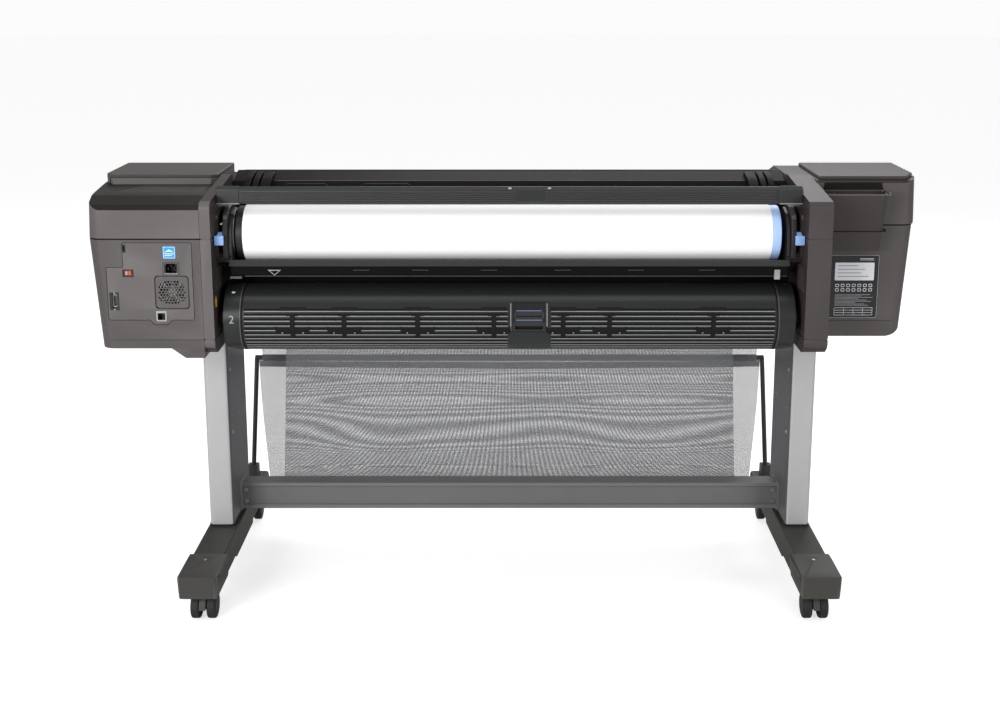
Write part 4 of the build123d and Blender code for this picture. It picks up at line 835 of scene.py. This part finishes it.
# ---- basket ---------------------------------------------------------------------------------
STATIONS = [(553, 150, 617), (563, 156, 420), (577, 163, 200), (586, 178, 130), (606, 212, 98),
            (626, 252, 98), (638, 284, 122), (645, 302, 180), (655, 317, 310), (660, 326.5, 436)]


def spline(points, s):
    """Catmull-Rom point at s in 0..1 along a list of points, by arc length of the polygon."""
    lengths = [0.0]
    for a, b in zip(points, points[1:]):
        lengths.append(lengths[-1] + (Vector(b) - Vector(a)).length)
    d = s * lengths[-1]
    i = max(k for k in range(len(points) - 1) if lengths[k] <= d + 1e-9)
    u = (d - lengths[i]) / (lengths[i + 1] - lengths[i])
    p0, p1, p2, p3 = (Vector(points[min(max(k, 0), len(points) - 1)]) for k in (i - 1, i, i + 1, i + 2))
    return 0.5 * ((2 * p1) + (p2 - p0) * u + (2 * p0 - 5 * p1 + 4 * p2 - p3) * u * u
                  + (3 * p1 - p0 - 3 * p2 + p3) * u ** 3)


ROWS, COLS = 90, 90
FLAP_HEIGHT = 0.03  # metres, the selvedge above the front tube


def cloth_point(u, s, lift=0.0):
    """Point of the mesh at u in -1..1 across and s in 0..1 along, with soft waves and sag."""
    w, y, z = spline(STATIONS, s)
    after = spline(STATIONS, min(s + 0.01, 1.0)) - spline(STATIONS, max(s - 0.01, 0.0))
    ny, nz = after[2], -after[1]
    k = math.hypot(ny, nz)
    ny, nz = ny / k, nz / k
    free = math.sin(math.pi * min(max(s, 0), 1)) ** 0.7
    wave = 1.1 * math.sin(5.2 * u + 2.0 * s) * free + 0.4 * math.sin(11.0 * u - 5.0 * s + 1.0) * free
    sag = 5.0 * (1 - u * u) * free
    pull = 1 - 0.010 * free * (1 - abs(2 * s - 1))
    d = wave - sag * 0.4 + lift
    return (u * w * pull * MM, (y + ny * d) * MM, (z + nz * d) * MM)


def cloth(name, look, u0, u1, s0, s1, rows, cols, lift=0.0, sag_hem=0.0, place=None):
    """Sheet over u and s ranges of the basket, or laid by place(u, s), with UVs in metres for its threads."""
    verts, faces, uvs = [], [], []
    total = sum((Vector(a) - Vector(b)).length for a, b in zip(STATIONS, STATIONS[1:])) * MM
    for i in range(rows + 1):
        for j in range(cols + 1):
            u, s = u0 + (u1 - u0) * j / cols, s0 + (s1 - s0) * i / rows
            verts.append(place(u, s) if place else cloth_point(u, s - sag_hem * (1 - u * u), lift))
            uvs.append((u * 0.62, s * (FLAP_HEIGHT if place else total)))
    for i in range(rows):
        for j in range(cols):
            a = i * (cols + 1) + j
            faces.append((a, a + 1, a + cols + 2, a + cols + 1))
    mesh = bpy.data.meshes.new(name)
    mesh.from_pydata(verts, [], faces)
    layer = mesh.uv_layers.new(name="threads")
    for p in mesh.polygons:
        p.use_smooth = True
        for k in p.loop_indices:
            layer.data[k].uv = uvs[mesh.loops[k].vertex_index]
    mesh.materials.append(look)
    obj = bpy.data.objects.new(name, mesh)
    bpy.context.scene.collection.objects.link(obj)
    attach(obj, "frame")
    return obj


basket = cloth("basket_mesh", MESH, -1, 1, 0, 1, ROWS, COLS)
hem = cloth("basket_hem", HEM, -1, 1, 0.968, 0.990, 2, COLS, 0.7, 0.006)
sleeve = Shape()
sleeve.prism("x", circle(336, 436, 8.6, 28), -652, 652)
sleeve = sleeve.piece("basket_sleeve", HEM_SOLID, slot="mesh", bevel=0.8)
flap = cloth("basket_flap", MESH, -1, 1, 0, 1, 6, COLS, place=lambda u, s: (
    u * 0.652, (333 - 9 * s * s) * MM, (442 + 30 * s + 1.2 * math.sin(9 * u + 1) * s) * MM))
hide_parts("basket_fabric")

# ---- studio ---------------------------------------------------------------------------------
def seen_directly(t):
    return t.nodes.new("ShaderNodeLightPath").outputs["Is Camera Ray"]


floor_look = surface("studio_floor", srgb(226, 226, 226), 0.6, grain=40, mottle=0.005, spread=0.02)
tree = floor_look.node_tree
glow = tree.nodes.new("ShaderNodeEmission")
glow.inputs["Color"].default_value = (1, 1, 1, 1)
tree.links.new(remap(tree, seen_directly(tree), 0, 1, 0, 0.62), glow.inputs["Strength"])
both = tree.nodes.new("ShaderNodeAddShader")
tree.links.new(tree.nodes["Principled BSDF"].outputs[0], both.inputs[0])
tree.links.new(glow.outputs[0], both.inputs[1])
tree.links.new(both.outputs[0], tree.nodes["Material Output"].inputs["Surface"])
bm = bmesh.new()
bmesh.ops.create_circle(bm, cap_ends=True, segments=96, radius=30)
floor_mesh = bpy.data.meshes.new("studio_floor")
bm.to_mesh(floor_mesh)
bm.free()
floor = bpy.data.objects.new("studio_floor", floor_mesh)
bpy.context.scene.collection.objects.link(floor)
floor_mesh.materials.append(floor_look)

world = bpy.data.worlds.new("studio")
bpy.context.scene.world = world
world.use_nodes = True
tree = world.node_tree
background = tree.nodes["Background"]
background.inputs["Color"].default_value = (1, 1, 1, 1)
tree.links.new(remap(tree, seen_directly(tree), 0, 1, 0.42, 0.97), background.inputs["Strength"])


def softbox(name, at, aim, size, power):
    light = bpy.data.lights.new(name, "AREA")
    light.shape = "RECTANGLE"
    light.size, light.size_y = size
    light.energy = power
    obj = bpy.data.objects.new(name, light)
    bpy.context.scene.collection.objects.link(obj)
    obj.location = at
    obj.rotation_euler = (Vector(aim) - Vector(at)).to_track_quat("-Z", "Y").to_euler()


softbox("key_left", (-2.4, -3.6, 1.7), (-0.2, 0, 0.7), (1.8, 1.6), 120)
softbox("fill_right", (2.8, -3.2, 1.6), (0.2, 0, 0.7), (1.6, 1.4), 45)
softbox("top", (0, -0.6, 3.4), (0, 0, 0.9), (3.0, 1.4), 22)
softbox("back", (0.6, 3.2, 3.0), (0, 0, 0.6), (3.0, 1.4), 70)

camera = bpy.data.cameras.new("camera")
camera.sensor_width = 36
camera.lens = 47.28
camera.shift_x, camera.shift_y = -0.0095, -0.12
camera.clip_end = 100
eye = bpy.data.objects.new("camera", camera)
bpy.context.scene.collection.objects.link(eye)
eye.location = (0, -3.005, 1.428)
eye.rotation_euler = (math.radians(90 - 11.27), 0, 0)
bpy.context.scene.camera = eye
bpy.context.scene.view_settings.view_transform = "Standard"
